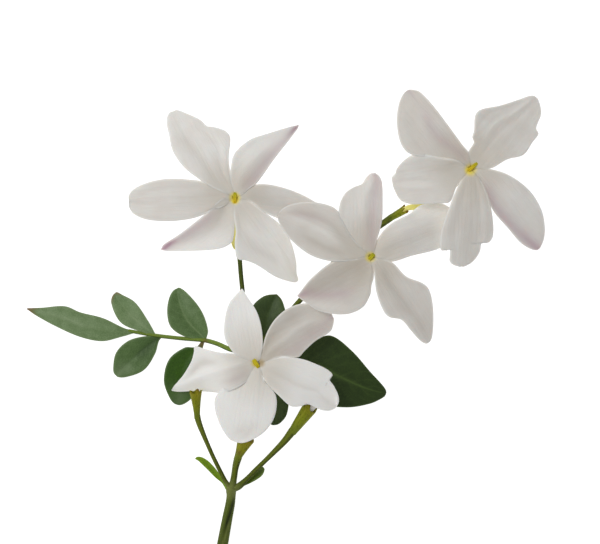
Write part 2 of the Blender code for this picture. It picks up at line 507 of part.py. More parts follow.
def make_calyx(key, shape, material):
    """A cup with pointed teeth: one closed skin, up the outside and down the inside."""
    foot, mouth = Vector(shape["foot"]), Vector(shape["mouth"])
    axis = (mouth - foot).normalized()
    length = (mouth - foot).length
    across, upward = disc_frame(axis)
    sides = TEETH * len(TOOTH_RISE)
    low, high = shape["radii"]
    vertices, faces = [], []

    def outer(t):
        return low + (high - low) * t ** shape["bell"]

    def ring(radius, heights):
        for k in range(sides):
            angle = 2 * math.pi * k / sides - math.radians(shape["turn"])
            offset = across * math.cos(angle) + upward * math.sin(angle)
            vertices.append(foot + offset * radius + axis * heights[k])

    steps = len(TOOTH_RISE)
    rim = []
    for k in range(sides):
        tooth = shape["tooth"] * shape["teeth"][(k + 1) // steps % TEETH]
        rim.append(length + tooth * TOOTH_RISE[k % steps])
    for level in range(CALYX_LEVELS + 1):
        t = level / CALYX_LEVELS
        ring(outer(t), [length * t] * sides)
    ring(high, rim)
    ring(high - CALYX_WALL, rim)
    for t in (1, (1 + CALYX_FLOOR) / 2, CALYX_FLOOR):
        ring(outer(t) - CALYX_WALL, [length * t] * sides)
    rings = len(vertices) // sides
    for i in range(rings - 1):
        for k in range(sides):
            here, after = i * sides + k, i * sides + (k + 1) % sides
            faces.append((here, after, after + sides, here + sides))
    faces.append(tuple(range(sides)))
    faces.append(tuple((rings - 1) * sides + k for k in range(sides)))
    return new_object("calyx_" + key, vertices, faces, material)


def flower_axis(flower):
    slope_x, slope_y = flower["slope"]
    return Vector((-slope_x, -slope_y, 1)).normalized()


def make_corolla(key, flower, material):
    centre, axis = Vector(flower["centre"]), flower_axis(flower)
    radius = flower["foot_radius"]
    calyx = CALYCES[key]
    cup_foot, mouth = Vector(calyx["foot"]), Vector(calyx["mouth"])
    cup = mouth - cup_foot
    seat = cup_foot + cup * CALYX_FLOOR + cup.normalized() * SEAT_GAP
    clear = mouth + cup.normalized() * (calyx["tooth"] + SEAT_GAP)
    route = [(*seat, radius * TUBE_SEAT_SHARE), (*clear, radius)]
    route += [(*p, radius + TUBE_GROWTH * (i + 1)) for i, p in enumerate(flower["tube"])]
    route += [(*(centre - axis * depth), wide) for depth, wide in FUNNEL]
    tube = swept("corolla_" + key, smooth_points(route, TUBE_SAMPLES), TUBE_SIDES, material)
    petals = [blade("petal_%s%d" % (key, i), petal, centre, flower["slope"], PETAL_ROWS,
                    PETAL_COLUMNS, CLAW, material)
              for i, petal in enumerate(flower["petals"])]
    corolla = boolean(tube, petals, "UNION", "MANIFOLD")
    floor = centre - axis * THROAT_DEPTH
    brim = centre + axis * THROAT_CLEAR
    widening = (THROAT_RADIUS - THROAT_FLOOR_RADIUS) / THROAT_DEPTH
    hole = [(*floor, THROAT_FLOOR_RADIUS), (*brim, THROAT_RADIUS + widening * THROAT_CLEAR)]
    return boolean(corolla, [swept("throat", hole, TUBE_SIDES, material)], "DIFFERENCE", "MANIFOLD")


def make_anthers(key, flower, material):
    """Two cells side by side on a short filament, standing in the throat."""
    centre, axis = Vector(flower["centre"]), flower_axis(flower)
    heading, half_length, half_width = flower["anthers"]
    heading = math.radians(heading)
    lengthwise = Vector((math.cos(heading), math.sin(heading), 0))
    lengthwise = (lengthwise - axis * lengthwise.dot(axis)).normalized()
    sideways = axis.cross(lengthwise)
    swell = half_width / 2
    cells = []
    for side in (-1, 1):
        middle = centre + sideways * side * swell - axis * ANTHER_DEPTH
        route = []
        for place in np.linspace(-1, 1, ANTHER_SAMPLES):
            radius = ANTHER_END_RADIUS + swell * math.sqrt(1 - place * place)
            route.append((*(middle + lengthwise * float(place) * half_length), radius))
        cells.append(swept("anther_cell", route, ANTHER_SIDES, material))
    filament = [(*(centre - axis * depth), radius)
                for depth, radius in zip((THROAT_DEPTH - SEAT_GAP, ANTHER_DEPTH), FILAMENT_RADII)]
    cells.append(swept("filament", filament, ANTHER_SIDES, material))
    anthers = boolean(cells[0], cells[1:], "UNION")
    anthers.name = "anthers_" + key
    return anthers


def make_bud(material):
    return swept("bud_right", smooth_points(BUD_ROUTE, BUD_SAMPLES), TUBE_SIDES, material)


def make_leaf(key, leaf, material):
    route = smooth_points(leaf["rachis"], RACHIS_SAMPLES * len(leaf["rachis"]))
    rod = swept("leaf_" + key, route, RACHIS_SIDES, material)
    leaflets = [blade("leaflet_%s%d" % (key, i), shape, shape["foot"], (0, 0), LEAFLET_ROWS,
                      LEAFLET_COLUMNS, LEAFLET_FOOT, material)
                for i, shape in enumerate(leaf["leaflets"])]
    return boolean(rod, leaflets, "UNION", "MANIFOLD")


def make_bract(key, shape, material):
    return blade("bract_" + key, shape, shape["foot"], (0, 0), BRACT_ROWS, BRACT_COLUMNS,
                 BRACT_FOOT, material)


def main():
    clear_scene()
    petal_white = make_material("petal_white", WHITE, 0.6)
    anther_yellow = make_material("anther_yellow", ANTHER_YELLOW, 0.6)
    stem_green = make_material("stem_green", STEM_GREEN, 0.55)
    calyx_green = make_material("calyx_green", CALYX_GREEN, 0.55)
    leaf_green = make_material("leaf_green", LEAF_GREEN, 0.5)
    bract_green = make_material("bract_green", BRACT_GREEN, 0.5)
    make_stem(stem_green)
    for key, shape in CALYCES.items():
        make_calyx(key, shape, calyx_green)
    for key, flower in FLOWERS.items():
        make_corolla(key, flower, petal_white)
        make_anthers(key, flower, anther_yellow)
    make_bud(petal_white)
    for key, leaf in LEAVES.items():
        make_leaf(key, leaf, leaf_green)
    for key, shape in BRACTS.items():
        make_bract(key, shape, bract_green)


main()
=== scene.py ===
"""The finished look of the jasmine sprig: fine petals, leaves and stems, their materials and light.

Each solid of the frame is replaced by a finer piece on the same surface. A point of a petal or
leaflet is given by t, from 0 at its foot to 1 at its tip, and v, from -1 at its left edge to 1 at
its right edge, as seen from above by someone who looks from foot to tip. Lengths are in
millimetres and angles in degrees unless a name says otherwise.
"""
import math

import bpy
import numpy as np
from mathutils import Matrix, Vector
from numpy.linalg import norm


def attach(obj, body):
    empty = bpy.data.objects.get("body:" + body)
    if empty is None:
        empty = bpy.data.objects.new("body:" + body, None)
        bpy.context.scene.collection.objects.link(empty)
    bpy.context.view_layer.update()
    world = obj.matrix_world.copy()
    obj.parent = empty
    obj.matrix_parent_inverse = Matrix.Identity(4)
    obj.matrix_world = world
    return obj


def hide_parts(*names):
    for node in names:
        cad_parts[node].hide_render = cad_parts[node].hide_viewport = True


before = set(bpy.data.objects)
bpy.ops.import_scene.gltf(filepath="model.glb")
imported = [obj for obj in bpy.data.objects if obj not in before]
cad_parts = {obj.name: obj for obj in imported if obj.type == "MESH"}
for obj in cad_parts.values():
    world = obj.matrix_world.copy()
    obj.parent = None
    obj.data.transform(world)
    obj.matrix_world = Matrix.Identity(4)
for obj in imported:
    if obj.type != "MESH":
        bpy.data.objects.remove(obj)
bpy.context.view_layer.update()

MM = 0.001

# Blades: fineness, thickness, and root, which is how far from its foot a blade starts and its
# half width there. A funnel dips into the tube.
PETAL = dict(rows=64, columns=28, thickness=0.3, root=(0.45, 0.6), funnel=True)
LEAFLET = dict(rows=56, columns=28, thickness=0.36, root=(-0.1, 0.3))
BRACT = dict(LEAFLET, rows=36, columns=14)
MARGIN_SHARE = 0.28     # thickness left at a margin
MARGIN_WIDTH = 0.7
TIP_HALF_WIDTH = 0.25
SHARP_TIP_HALF_WIDTH = 0.1
FORM_ROWS = 64          # fineness of the calm outline that carries a blade's heights
FORM_PASSES = 30        # how often it is smoothed
LIFT_END = 0.7          # the share of a petal's length over which its lift dies away
LINE_FADE = 0.12        # half the share of the length over which a fold or stain comes and goes
CURL_FADE = 0.1
CURL_START = 0.55       # the v from which a curled edge rises
SETTLE_END = 0.2        # the t before which folds and ripples come in
LONG_RIPPLE, SHORT_RIPPLE = 1.7, 3.1        # radians in a millimetre
SHORT_RIPPLE_SHARE = 0.6
GRAIN_STEP = 11.0       # from one blade to the next, so that no two have the same grain

# Throats
THROAT_RADIUS = 2.0     # inside this distance from the axis the petals dip into the tube
THROAT_DEPTH = 0.3
THROAT_FLOOR = 0.75
ANTHER_RISE = 0.15      # how far the anthers stand over the throat's rim

# Rods
TUBE_SIDES, STEM_SIDES, ANTHER_SIDES, FILAMENT_SIDES = 28, 24, 20, 12
TUBE_STEPS, THROAT_STEPS, BUD_STEPS, RACHIS_STEPS, ANTHER_STEPS = 60, 16, 40, 70, 25
STEM_STEP = 0.5
RIDGES = 4
STEM_RIDGE, RACHIS_RIDGE, ANTHER_RIDGE, BUD_RIDGE = 0.07, 0.05, 0.05, 0.04      # share of the radius
SHADE_SIDE = 0.9        # the angle in radians round a branch at which the painted shade in its grooves is darkest
ROD_GRAIN_RADIUS, ROD_GRAIN_STEP = 3.0, 9.0

BLADE_DEFAULTS = dict(twist=0, lift=0, folds=(), stains=(), shades=(), curl=(0, 0, 1), ripple=0.02,
    sharp=False, tone=0, rust=0, rib=1, veins=1, stub=0)


def blade(heading, left, right, tip, mid, end, cup, **more):
    """The shape of a petal or leaflet.

    left, right and tip are (along, out) from its foot. mid and end are heights half way and at
    the tip, cup is how far the edges stand over the middle, twist how far the left edge stands
    over the right, and lift a swelling near the foot. A fold, stain or shade is its rise or
    strength, its width, and the t and v of each of its points. A shade is painted shade, and one
    below 0 is a streak of painted light. curl is the rise of the right edge with its first and
    last t. tone runs from a leaflet's pale colour to its deep one, and on a petal it is an even
    painted shade, or even painted light below 0. rust browns a tip and stub a foot. rib and veins
    are how clearly the midrib and side veins show, and a rib below 0 is dark.
    """
    return dict(BLADE_DEFAULTS, heading=heading, left=left, right=right, tip=tip, mid=mid, end=end,
                cup=cup, **more)


PETALS_A = (
    blade(118.9, ((3, 2.2), (4.3, 3.2), (7.2, 4.8), (11.2, 6.5), (15.5, 7), (19.2, 6), (22, 5.1),
            (23.4, 3.8)),
        ((4.9, -1.7), (8.4, -3.1), (12.1, -5.5), (14, -5.2), (16, -3.4), (16.8, -2.3), (18.8, -1.6),
            (21.7, 0.5)),
        (23.3, 2.3), -1.4, -6.9, 0.3, lift=0.5, tone=-0.1,
        folds=((0.15, 1.6, 0.15, -0.6, 0.95, -0.7), (-0.2, 1.8, 0.1, -0.3, 0.9, -0.3),
            (0.15, 1.3, 0.1, 0.1, 0.9, 0.15), (-0.15, 0.9, 0.15, 0.35, 0.8, 0.6),
            (0.12, 0.9, 0.2, 0.7, 0.7, 0.8)),
        shades=((0.35, 1.6, 0.2, -0.25, 0.75, -0.35), (-0.15, 1.2, 0.3, 0.55, 0.7, 0.75)),
        curl=(-0.35, 0.7, 1)),
    blade(48, ((2.4, 3.7), (4, 4.9), (7.2, 6.6), (11.7, 6.1), (15.2, 4.2), (19.7, 1.5)),
        ((3.4, -1), (5.8, -1.4), (12.2, -0.7), (20.2, -0.1)),
        (21.2, 0.3), 0.3, -1.6, 0.2, twist=0.4, lift=-0.1, sharp=True, tone=-0.5,
        folds=((0.3, 1.8, 0.1, -0.1, 0.95, 0.2),),
        shades=((0.6, 1.8, 0.1, 0.5, 0.6, 0.6), (-0.5, 1.5, 0.3, -0.5, 0.9, -0.3)),
        stains=((0.55, 1.5, 0.15, 0.7, 0.9, 0.7), (1.9, 0.8, 0.9, 0.4, 1, 0.2))),
    blade(-5, ((3.1, 2.9), (6.3, 3.6), (10.8, 3.1), (14.9, 1.9)),
        ((3.4, -0.5), (6.9, -2.7), (12.5, -4), (16.4, -2.5)),
        (19.5, -0.3), -0.6, -3, 0.2, sharp=True, tone=0.05,
        folds=((0.2, 1.5, 0.1, -0.2, 0.9, -0.1), (-0.15, 1.2, 0.15, 0.4, 0.8, 0.3)),
        shades=((0.35, 2.5, 0.1, 0.2, 1, 0.2),)),
    blade(-55.8, ((2.5, 2.3), (6.5, 3.7), (10.5, 4.9), (15, 4.7), (19.2, 3.2), (21.1, 2)),
        ((3, -2.3), (6.3, -4), (7.8, -5.3), (9.6, -6.4), (10.9, -7), (11.8, -6.8), (12.5, -5.9),
            (14.6, -4.4), (19.2, -2.4), (22, -0.3)),
        (22.8, 1), -1.2, -5.7, 0.3, twist=-0.3, lift=0.3, tone=-0.5,
        folds=((0.35, 1.1, 0.3, 0.1, 0.42, -0.05, 0.58, -0.35, 0.85, -0.2),
            (-0.12, 1.3, 0.12, 0.6, 0.6, 0.6), (-0.15, 1.4, 0.3, -0.55, 0.9, -0.5)),
        shades=((-0.6, 0.8, 0.3, 0.1, 0.42, -0.05, 0.58, -0.35, 0.85, -0.2),
            (0.3, 1.4, 0.35, 0.45, 0.75, 0.2), (-0.5, 0.5, 0.1, 1, 0.5, 1)),
        curl=(0.1, 0.05, 0.6)),
    blade(-144.5, ((2.2, 3.1), (4.6, 6.2), (5.9, 7.4), (7, 7.6), (8.7, 7.3), (11.1, 6.1), (14.8, 3.7),
            (18.6, 1.1)),
        ((2.5, -1.5), (7.7, -0.9), (14.5, -0.6), (18.6, -0.8)),
        (19.8, -0.2), -1, -5, 0.4, twist=0.15, lift=0.12, sharp=True, tone=-0.3,
        folds=((-0.35, 2.2, 0.05, 0.2, 1, 0.1),),
        shades=((0.35, 1.6, 0.05, 0.6, 0.8, 0.7), (-0.4, 2, 0.4, -0.6, 0.9, -0.5)),
        stains=((0.6, 1.4, 0.3, 0.75, 0.9, 0.7), (2.6, 0.8, 0.86, 0.6, 1, 0.3))),
    blade(-177.6, ((2.8, 1.9), (4.5, 2.4), (9, 4), (14.6, 4.5), (19.6, 3.9), (22.3, 2.6), (23.3, 1.1)),
        ((2.7, -2.6), (5, -3.4), (8.6, -4.3), (15.2, -4.8), (19.7, -4), (22.4, -2.7), (23.4, -1.3)),
        (23, 0.1), -1.2, -5.5, 0.2, tone=0.13,
        folds=((0.15, 1, 0.1, 0.75, 0.95, 0.7), (-0.12, 0.5, 0.05, 0, 0.6, 0.05),
            (0.15, 1, 0.1, -0.75, 0.9, -0.7), (-0.2, 0.7, 0.75, -0.25, 1, 0)),
        shades=((0.2, 2.5, 0.2, 0, 0.6, -0.1), (-0.3, 1.2, 0.3, 0.45, 0.9, 0.4))),
)
PETALS_B = (
    blade(90.3, ((2.75, 3.6), (4.95, 5.4), (7.15, 6.5), (9.35, 7.1), (10.7, 6.95), (12.4, 6.5), (14, 5.5),
            (15.2, 3.8), (15.95, 1.9), (17.2, 1.1)),
        ((3.2, -1.2), (7.6, -2.4), (12.4, -2.6), (16.2, -2.5), (17.6, -1.9)),
        (18.3, -0.5), 0.2, -1.5, 0.1, twist=-1, tone=0.12,
        folds=((0.4, 1.3, 0.3, 0.2, 1, 0.1),),
        shades=((0.4, 2.2, 0.05, 0.2, 0.45, 0.1), (-0.25, 1.5, 0.5, -0.5, 0.8, -0.5)),
        stains=((0.5, 1.3, 0.1, 0.55, 1, 0.6), (0.7, 0.4, 0.2, 1, 0.9, 1))),
    blade(22.2, ((3.4, 3.5), (6.7, 5), (11.2, 5.5), (14.5, 6.3), (18.6, 5.1)),
        ((3.5, -2.7), (8.1, -3.2), (14.9, -4), (18.8, -2.6)),
        (20.8, 1.2), -0.6, -3.2, -0.4, twist=0.5, lift=0.8, tone=-0.1,
        folds=((0.2, 2, 0.1, -0.3, 0.9, -0.3), (-0.15, 1.6, 0.1, 0.3, 0.9, 0.2)),
        shades=((0.35, 2, 0.1, 0.35, 0.8, 0.3), (-0.3, 1.5, 0.3, -0.6, 0.8, -0.7))),
    blade(-57.9, ((3.4, 3.2), (7.7, 4.2), (11, 6.5), (13, 6.9), (16.8, 5.5), (21.6, 2.4)),
        ((3.2, -1.3), (7.4, -3.2), (11.6, -4), (13.4, -3.6), (15.3, -1.7), (18.3, -1.2), (21.5, -0.6)),
        (22.7, 0.6), -0.6, -4, 0.5, twist=-0.4, lift=-0.1, tone=0.18,
        folds=((0.2, 1.3, 0.15, 0.3, 0.65, 0.5), (-0.3, 1.6, 0.2, 0, 0.7, 0.1)),
        shades=((0.35, 2.2, 0.1, 0, 0.6, 0.2), (0.4, 1.2, 0.6, 0.3, 0.95, 0.1),
            (-0.3, 0.8, 0.6, 0.75, 0.95, 0.6)),
        curl=(0.4, 0.55, 0.95)),
    blade(-152.4, ((0.9, 2.9), (1.7, 4.45), (2.8, 5.6), (3.9, 7.2), (6.8, 9), (10.8, 8.6), (15.4, 5.5),
            (17.4, 2.2)),
        ((3.4, -1.2), (7.4, -2.9), (13.6, -1.9)),
        (18.3, 0.2), 0, -2.6, 0.5, lift=-0.3, sharp=True, tone=0.28,
        folds=((-0.4, 2.4, 0.4, 0, 1, 0.15),),
        shades=((0.75, 2.4, 0.1, 0.5, 0.9, 0.5), (0.3, 2.5, 0.1, -0.3, 0.5, 0),
            (-0.35, 1.6, 0.5, -0.75, 0.9, -0.6)),
        stains=((0.9, 0.9, 0.85, 0.5, 1, 0.2), (0.6, 1.4, 0.4, -0.3, 0.9, 0.1))),
    blade(156.4, ((3.7, 2.7), (7.8, 4.5), (12.3, 5), (17.5, 3.7), (20.7, 1.8)),
        ((3.9, -1.5), (6.3, -2.7), (8.6, -4.5), (11, -6.4), (13.8, -6.5), (18, -5.2), (21, -3.1),
            (22.2, -1.3)),
        (22.2, 0), -0.2, -2.2, -0.4, twist=0.6, lift=0.7, tone=0.24,
        folds=((0.3, 1, 0.25, 0, 0.95, 0.1), (-0.2, 1.4, 0.3, 0.4, 0.95, 0.4),
            (-0.3, 1.5, 0.25, -0.5, 0.7, -0.5)),
        shades=((0.55, 1.3, 0.3, 0.45, 0.95, 0.45), (0.6, 1.1, 0.3, -0.5, 0.65, -0.5),
            (-0.4, 0.8, 0.35, 0, 0.9, 0.1)),
        stains=((0.3, 1.2, 0.55, 0.4, 0.9, 0.35),)),
)
PETALS_C = (
    blade(129.3, ((4, 2), (9.1, 7), (11.5, 8.6), (14.5, 8.3), (18.5, 5.9), (21, 3.2), (22, 1.3)),
        ((3, -1.8), (5.2, -1.8), (10.5, -2.1), (16.3, -2.3), (20.1, -2), (21.3, -1.25)),
        (22.1, 0), -0.6, -4.6, 0.4, tone=0.25,
        folds=((0.25, 1.8, 0.1, 0, 0.4, 0.05, 0.7, 0.2), (0.12, 0.7, 0.1, 0.9, 0.8, 0.85)),
        shades=((-0.3, 1, 0.4, -0.85, 0.9, -0.8), (0.25, 2, 0.1, 0.2, 0.5, 0.3)),
        stains=((0.4, 1.4, 0.1, 0.25, 0.4, 0.3, 0.75, 0.5), (0.5, 0.7, 0.9, 0.4, 1, 0.4))),
    blade(48.9, ((2, 2.7), (3, 3), (4.7, 3.3), (5.3, 4.3), (6.7, 5), (9.4, 7), (11.1, 6.9), (14.6, 4.3),
            (18.6, 1.9), (20.4, 0.9)),
        ((2.9, -3.3), (6.7, -4.7), (9.8, -6.7), (13.4, -6.4), (15.5, -6.2), (16.1, -5), (19.3, -3.7),
            (21.1, -1.5)),
        (21.3, -0.3), -0.4, -3.7, 0.5, lift=0.1, ripple=0.1, tone=0.1,
        folds=((0.25, 0.6, 0.35, -0.35, 0.95, -0.3), (-0.2, 0.8, 0.3, -0.1, 0.9, 0),
            (0.15, 1.4, 0.2, 0.4, 0.8, 0.4), (-0.15, 0.7, 0.35, -0.8, 0.8, -0.7)),
        shades=((0.3, 1.5, 0.3, 0.2, 0.8, 0.3), (-0.4, 0.6, 0.4, -0.4, 0.9, -0.35))),
    blade(-50.5, ((2.9, 3.3), (6.6, 5.6), (12, 6.9), (17.1, 6.2), (20.7, 4.2), (22.2, 2.7), (22.9, 1.5)),
        ((4.3, -0.4), (10.1, -2.1), (15.5, -2), (19.2, -1.9), (21.6, -1.2)),
        (23.2, 0.3), -2.2, -7.97, 0.4, lift=0.4, tone=-0.05,
        folds=((0.15, 1.6, 0.1, -0.3, 0.9, -0.3), (-0.12, 2, 0.2, 0.5, 0.95, 0.4)),
        shades=((-0.35, 1.8, 0.3, -0.4, 0.9, -0.4),),
        stains=((0.75, 1.7, 0.2, 0.85, 0.6, 0.85, 0.85, 0.6), (1.2, 1.5, 0.85, 0.5, 1, 0.3))),
    blade(-93.5, ((2.9, 2.6), (6.8, 4.4), (11.1, 5.5), (14.6, 5.7), (16, 4.8), (15.9, 3.4), (17.9, 3.1),
            (19.4, 2.4), (20.7, 1.3)),
        ((3.5, -2.4), (8.9, -4.3), (13.6, -5.6), (16.2, -5.8), (18.3, -5.4), (18, -3.6), (19.4, -3.5),
            (20.6, -3.4), (21.3, -2.6)),
        (21.6, -0.7), 0, -3, -0.4, twist=-0.4, lift=0.7, tone=0.1,
        folds=((0.15, 0.9, 0.1, 0.75, 0.8, 0.75), (-0.1, 0.9, 0.1, 0.45, 0.8, 0.45),
            (0.1, 1.2, 0.1, 0.05, 0.9, 0), (-0.12, 0.9, 0.1, -0.45, 0.8, -0.5),
            (0.15, 0.8, 0.1, -0.75, 0.8, -0.75)),
        shades=((0.25, 2.5, 0.1, 0.1, 0.9, 0), (-0.2, 0.7, 0.1, 0.9, 0.7, 0.9))),
    blade(-170.6, ((2.1, 1.7), (3.9, 3.6), (5.8, 6.5), (8.5, 6.3), (12.3, 5.9), (14.5, 5.5), (16.4, 4.3),
            (17.3, 2)),
        ((3.1, -2.5), (5.3, -3.1), (8.4, -4.3), (11.6, -5.1), (14, -4.3), (16.1, -2.6), (16.5, -1.7),
            (17.4, -1)),
        (17.5, 0.3), -0.2, -3, 0.4, lift=0.25, tone=0.08,
        folds=((0.2, 0.6, 0.1, 0.9, 0.7, 0.85), (-0.15, 1.4, 0.1, 0.5, 0.8, 0.5),
            (-0.2, 0.6, 0.5, -0.1, 0.9, 0.1), (0.2, 0.7, 0.5, -0.35, 0.95, -0.2)),
        shades=((0.35, 1.2, 0.2, 0.4, 0.7, 0.4), (-0.4, 0.7, 0.6, -0.3, 0.9, -0.2))),
)
PETALS_D = (
    blade(101.6, ((2.5, 4), (3.9, 5), (6.8, 5.9), (10.3, 5.3), (14.1, 3.5)),
        ((3.8, -1.9), (7.5, -2.4), (11.1, -2.1), (14.3, -0.9)),
        (16.7, 0.1), 0.2, -1.5, 0.5, lift=-0.1, sharp=True, tone=-0.7,
        folds=((0.2, 2.5, 0.1, -0.2, 1, 0),)),
    blade(29.7, ((2.5, 2.4), (5, 4.8), (8.3, 6.6), (12.1, 7.2), (15.8, 6.2), (17.8, 4.3), (19.1, 2.2)),
        ((5, -1.2), (8.4, -3.2), (10.3, -2.7), (13.4, -2), (17.3, -1.8), (18.8, -0.6)),
        (19.4, 0.8), -0.1, -1.4, 0.4, twist=0.6, lift=-0.2, tone=0.3,
        folds=((0.3, 1.3, 0.1, 0, 0.8, 0), (-0.15, 1.5, 0.1, -0.5, 0.8, -0.5)),
        shades=((0.5, 1.8, 0.05, -0.5, 0.7, -0.5), (-0.5, 0.9, 0.1, 0, 0.8, 0),
            (0.35, 1.8, 0.1, 0.6, 0.9, 0.5)),
        stains=((0.35, 1.5, 0.3, 0.7, 0.9, 0.6), (0.5, 1, 0.88, 0.3, 1, 0))),
    blade(-24.9, ((2.1, 1.9), (3.9, 3.3), (8, 4.9), (12.7, 5.3), (15, 5.1), (16, 4.5), (15.7, 3.5),
            (17.3, 2.5), (19.1, 0.9)),
        ((3.7, -3.2), (7, -4.4), (10.4, -5.4), (12.4, -4.6), (13.6, -3.5), (16.7, -3.4), (18.6, -2.8)),
        (19.7, -1), -0.4, -3.3, -0.4, twist=1, tone=-0.75,
        folds=((0.2, 1.2, 0.1, -0.35, 0.8, -0.3), (-0.25, 0.9, 0.15, 0.15, 0.85, 0.1),
            (0.2, 1, 0.2, 0.4, 0.85, 0.4), (-0.15, 1, 0.75, 0.6, 1, 0.3)),
        shades=((0.2, 1, 0.2, 0.1, 0.7, 0.1), (0.35, 1, 0.8, 0.2, 0.95, 0.2),
            (0.25, 1.5, 0.15, 0.7, 0.5, 0.75))),
    blade(-99.2, ((3.3, 1.9), (6.4, 5.1), (10.9, 5.5), (14.6, 3.8), (17, 1)),
        ((3.3, -2.6), (6.2, -6.3), (9.2, -8), (13.4, -6.7), (17.2, -3.7)),
        (17.8, -1.3), -0.6, -3.9, -0.5, twist=0.6, lift=0.15, tone=-0.8,
        folds=((0.1, 1.6, 0.1, -0.2, 0.7, -0.3), (-0.12, 1.6, 0.8, -0.4, 0.95, 0.5)),
        shades=((0.25, 2, 0.75, -0.1, 0.95, 0.3), (0.35, 1.6, 0.75, -0.5, 0.97, -0.3))),
    blade(-161.6, ((3.2, 2.9), (7, 3.8), (9.1, 3.8), (11.9, 2.6), (15.4, 1.3), (18.6, 0.4)),
        ((3.1, -3.1), (7.1, -4.9), (9.9, -6.6), (11.9, -7.9), (12.5, -6.7), (13.7, -5), (16.2, -2.8),
            (19.1, -1)),
        (19.8, -0.3), -2.2, -7.5, -0.4, twist=-0.6, lift=1.75, sharp=True, tone=-0.6,
        folds=((0.45, 1.2, 0.1, 0.35, 0.35, 0.1, 0.6, -0.2, 1, 0), (-0.25, 1.6, 0.4, 0.4, 0.8, 0.4)),
        shades=((-0.5, 1, 0.1, 0.35, 0.35, 0.1, 0.6, -0.2, 1, 0), (0.5, 1.4, 0.45, 0.35, 0.8, 0.35),
            (0.35, 1.4, 0.15, -0.5, 0.4, -0.55)),
        stains=((0.3, 1.2, 0.15, -0.5, 0.4, -0.55),)),
)

# Flowers: centre of the throat, slope of the flower's plane along X and Y, the route of the tube
# from its calyx and the tube's radius there. Anthers: middle of the pair beside the centre,
# heading, half length, half width, and ripeness at the lower and the upper end. Halos on the
# petals round the throat: strength, middle beside the centre, and the radii between which each
# fades. One below 0 is a beige painted shade in the throat's hollow, the others are yellow.
FLOWERS = {
    "a": dict(
        centre=(-11.2, 28.05, 9), slope=(-0.04, -0.12), petals=PETALS_A,
        anthers=((0, 0.05), 88, 1.25, 0.34, (1, 0.1)),
        halos=((1, 0, 0, 0.7, 1.6), (0.5, 0, -0.8, 0.3, 1)),
        foot_radius=0.4,
        tube=((-11.2, 17.4, 5.5), (-11.6, 19.5, 6), (-11.4, 21.8, 6.3), (-11.2, 24.8, 6.6))),
    "b": dict(
        centre=(18.6, 15.2, 11.5), slope=(-0.06, -0.05), petals=PETALS_B,
        anthers=((0.1, -0.05), 48, 0.85, 0.4, (0.4, 0.1)),
        halos=((0.85, -0.15, -0.1, 0.6, 1.5),),
        foot_radius=0.5, tube=((15.2, 12, 6.7), (17.7, 14.3, 7.8))),
    "c": dict(
        centre=(40.5, 34.5, 10), slope=(-0.14, -0.02), petals=PETALS_C,
        anthers=((0.45, 0.4), 40, 1.5, 0.36, (1, 0.2)),
        halos=((0.9, -0.1, -0.35, 0.6, 1.8), (0.4, -0.6, -0.4, 0.2, 1.1)),
        foot_radius=0.6,
        tube=((28.5, 26.1, 6), (30.4, 26.6, 6.1), (34.5, 29.2, 6.3), (38.2, 32.7, 6.6))),
    "d": dict(
        centre=(-6.2, -8.2, 11), slope=(-0.02, -0.08), petals=PETALS_D,
        anthers=((-0.4, 0.05), 123, 1.2, 0.42, (0.6, 0.4)),
        halos=((0.9, -0.5, 0.1, 0.3, 1.2), (-1.1, 0.75, 0.1, 0.3, 1.2)),
        foot_radius=0.75, tube=((-7.2, -18, 6.7), (-6.8, -12.2, 7.3))),
}

# The funnel under the petals, as (depth, radius), on its outside and its inside
FUNNEL_OUTSIDE = ((2.6, 0.95), (1.7, 1.15), (0.95, 1.5), (0.5, 1.9))
FUNNEL_INSIDE = ((0.5, 0.1), (0.49, 0.5), (0.47, 0.8), (0.41, 1.1), (0.3, 1.5), (0.18, 1.85))

TEETH = 5
CALYX_WALL = 0.3
CALYX_LEVELS = 14
CUP_DEFAULTS = dict(turn=0, splay=-0.12, teeth=(1,) * TEETH, spot=None)


def cup(foot, mouth, radii, bell, tooth, tone, **more):
    """The shape of a calyx.

    radii are the outer ones at its foot and mouth, and bell the power by which it widens. tooth
    is the length of its teeth, turn and splay how far they are turned about it and bent out of
    it, and teeth the share of that length that each one has. tone is how yellow the cup is and
    spot a brown spot as (x, y, radius).
    """
    return dict(CUP_DEFAULTS, foot=foot, mouth=mouth, radii=radii, bell=bell, tooth=tooth, tone=tone,
                **more)


CALYCES = {
    "a": cup((-10.23, 14.8, 4.76), (-10.4, 15.9, 4.95), (0.48, 0.65), 0.6, 0.4, 0.2),
    "b": cup((8.3, 7.5, 5), (11, 8.9, 5.4), (0.5, 1.05), 0.6, 1.5, 0.3),
    "c": cup((23, 23.7, 4.9), (25.5, 25.15, 5.6), (0.66, 0.86), 0.8, 1.2, 0.45,
        turn=30, splay=0.3, teeth=(0.7, 1.15, 0.8, 1, 0.8)),
    "d": cup((-10.7, -29.2, 3.45), (-8.8, -24.8, 4.9), (0.76, 1.9), 1.35, 0.3, 0.9,
        turn=36, splay=0, spot=(-10.4, -27.9, 0.65)),
    "left": cup((-19.48, -20, 7.4), (-19.8, -14.6, 8.9), (0.65, 1.32), 1.6, 1.25, 0.7,
        turn=5, splay=0.2, teeth=(0.4, 1, 0.3, 0.3, 0.3)),
    "right": cup((1.45, -23.2, 5.1), (5.1, -18.15, 6), (0.92, 1.62), 0.95, 1.3, 0.5,
        turn=35, splay=-0.1, teeth=(0.9, 0, 1, 0.5, 0.5)),
}

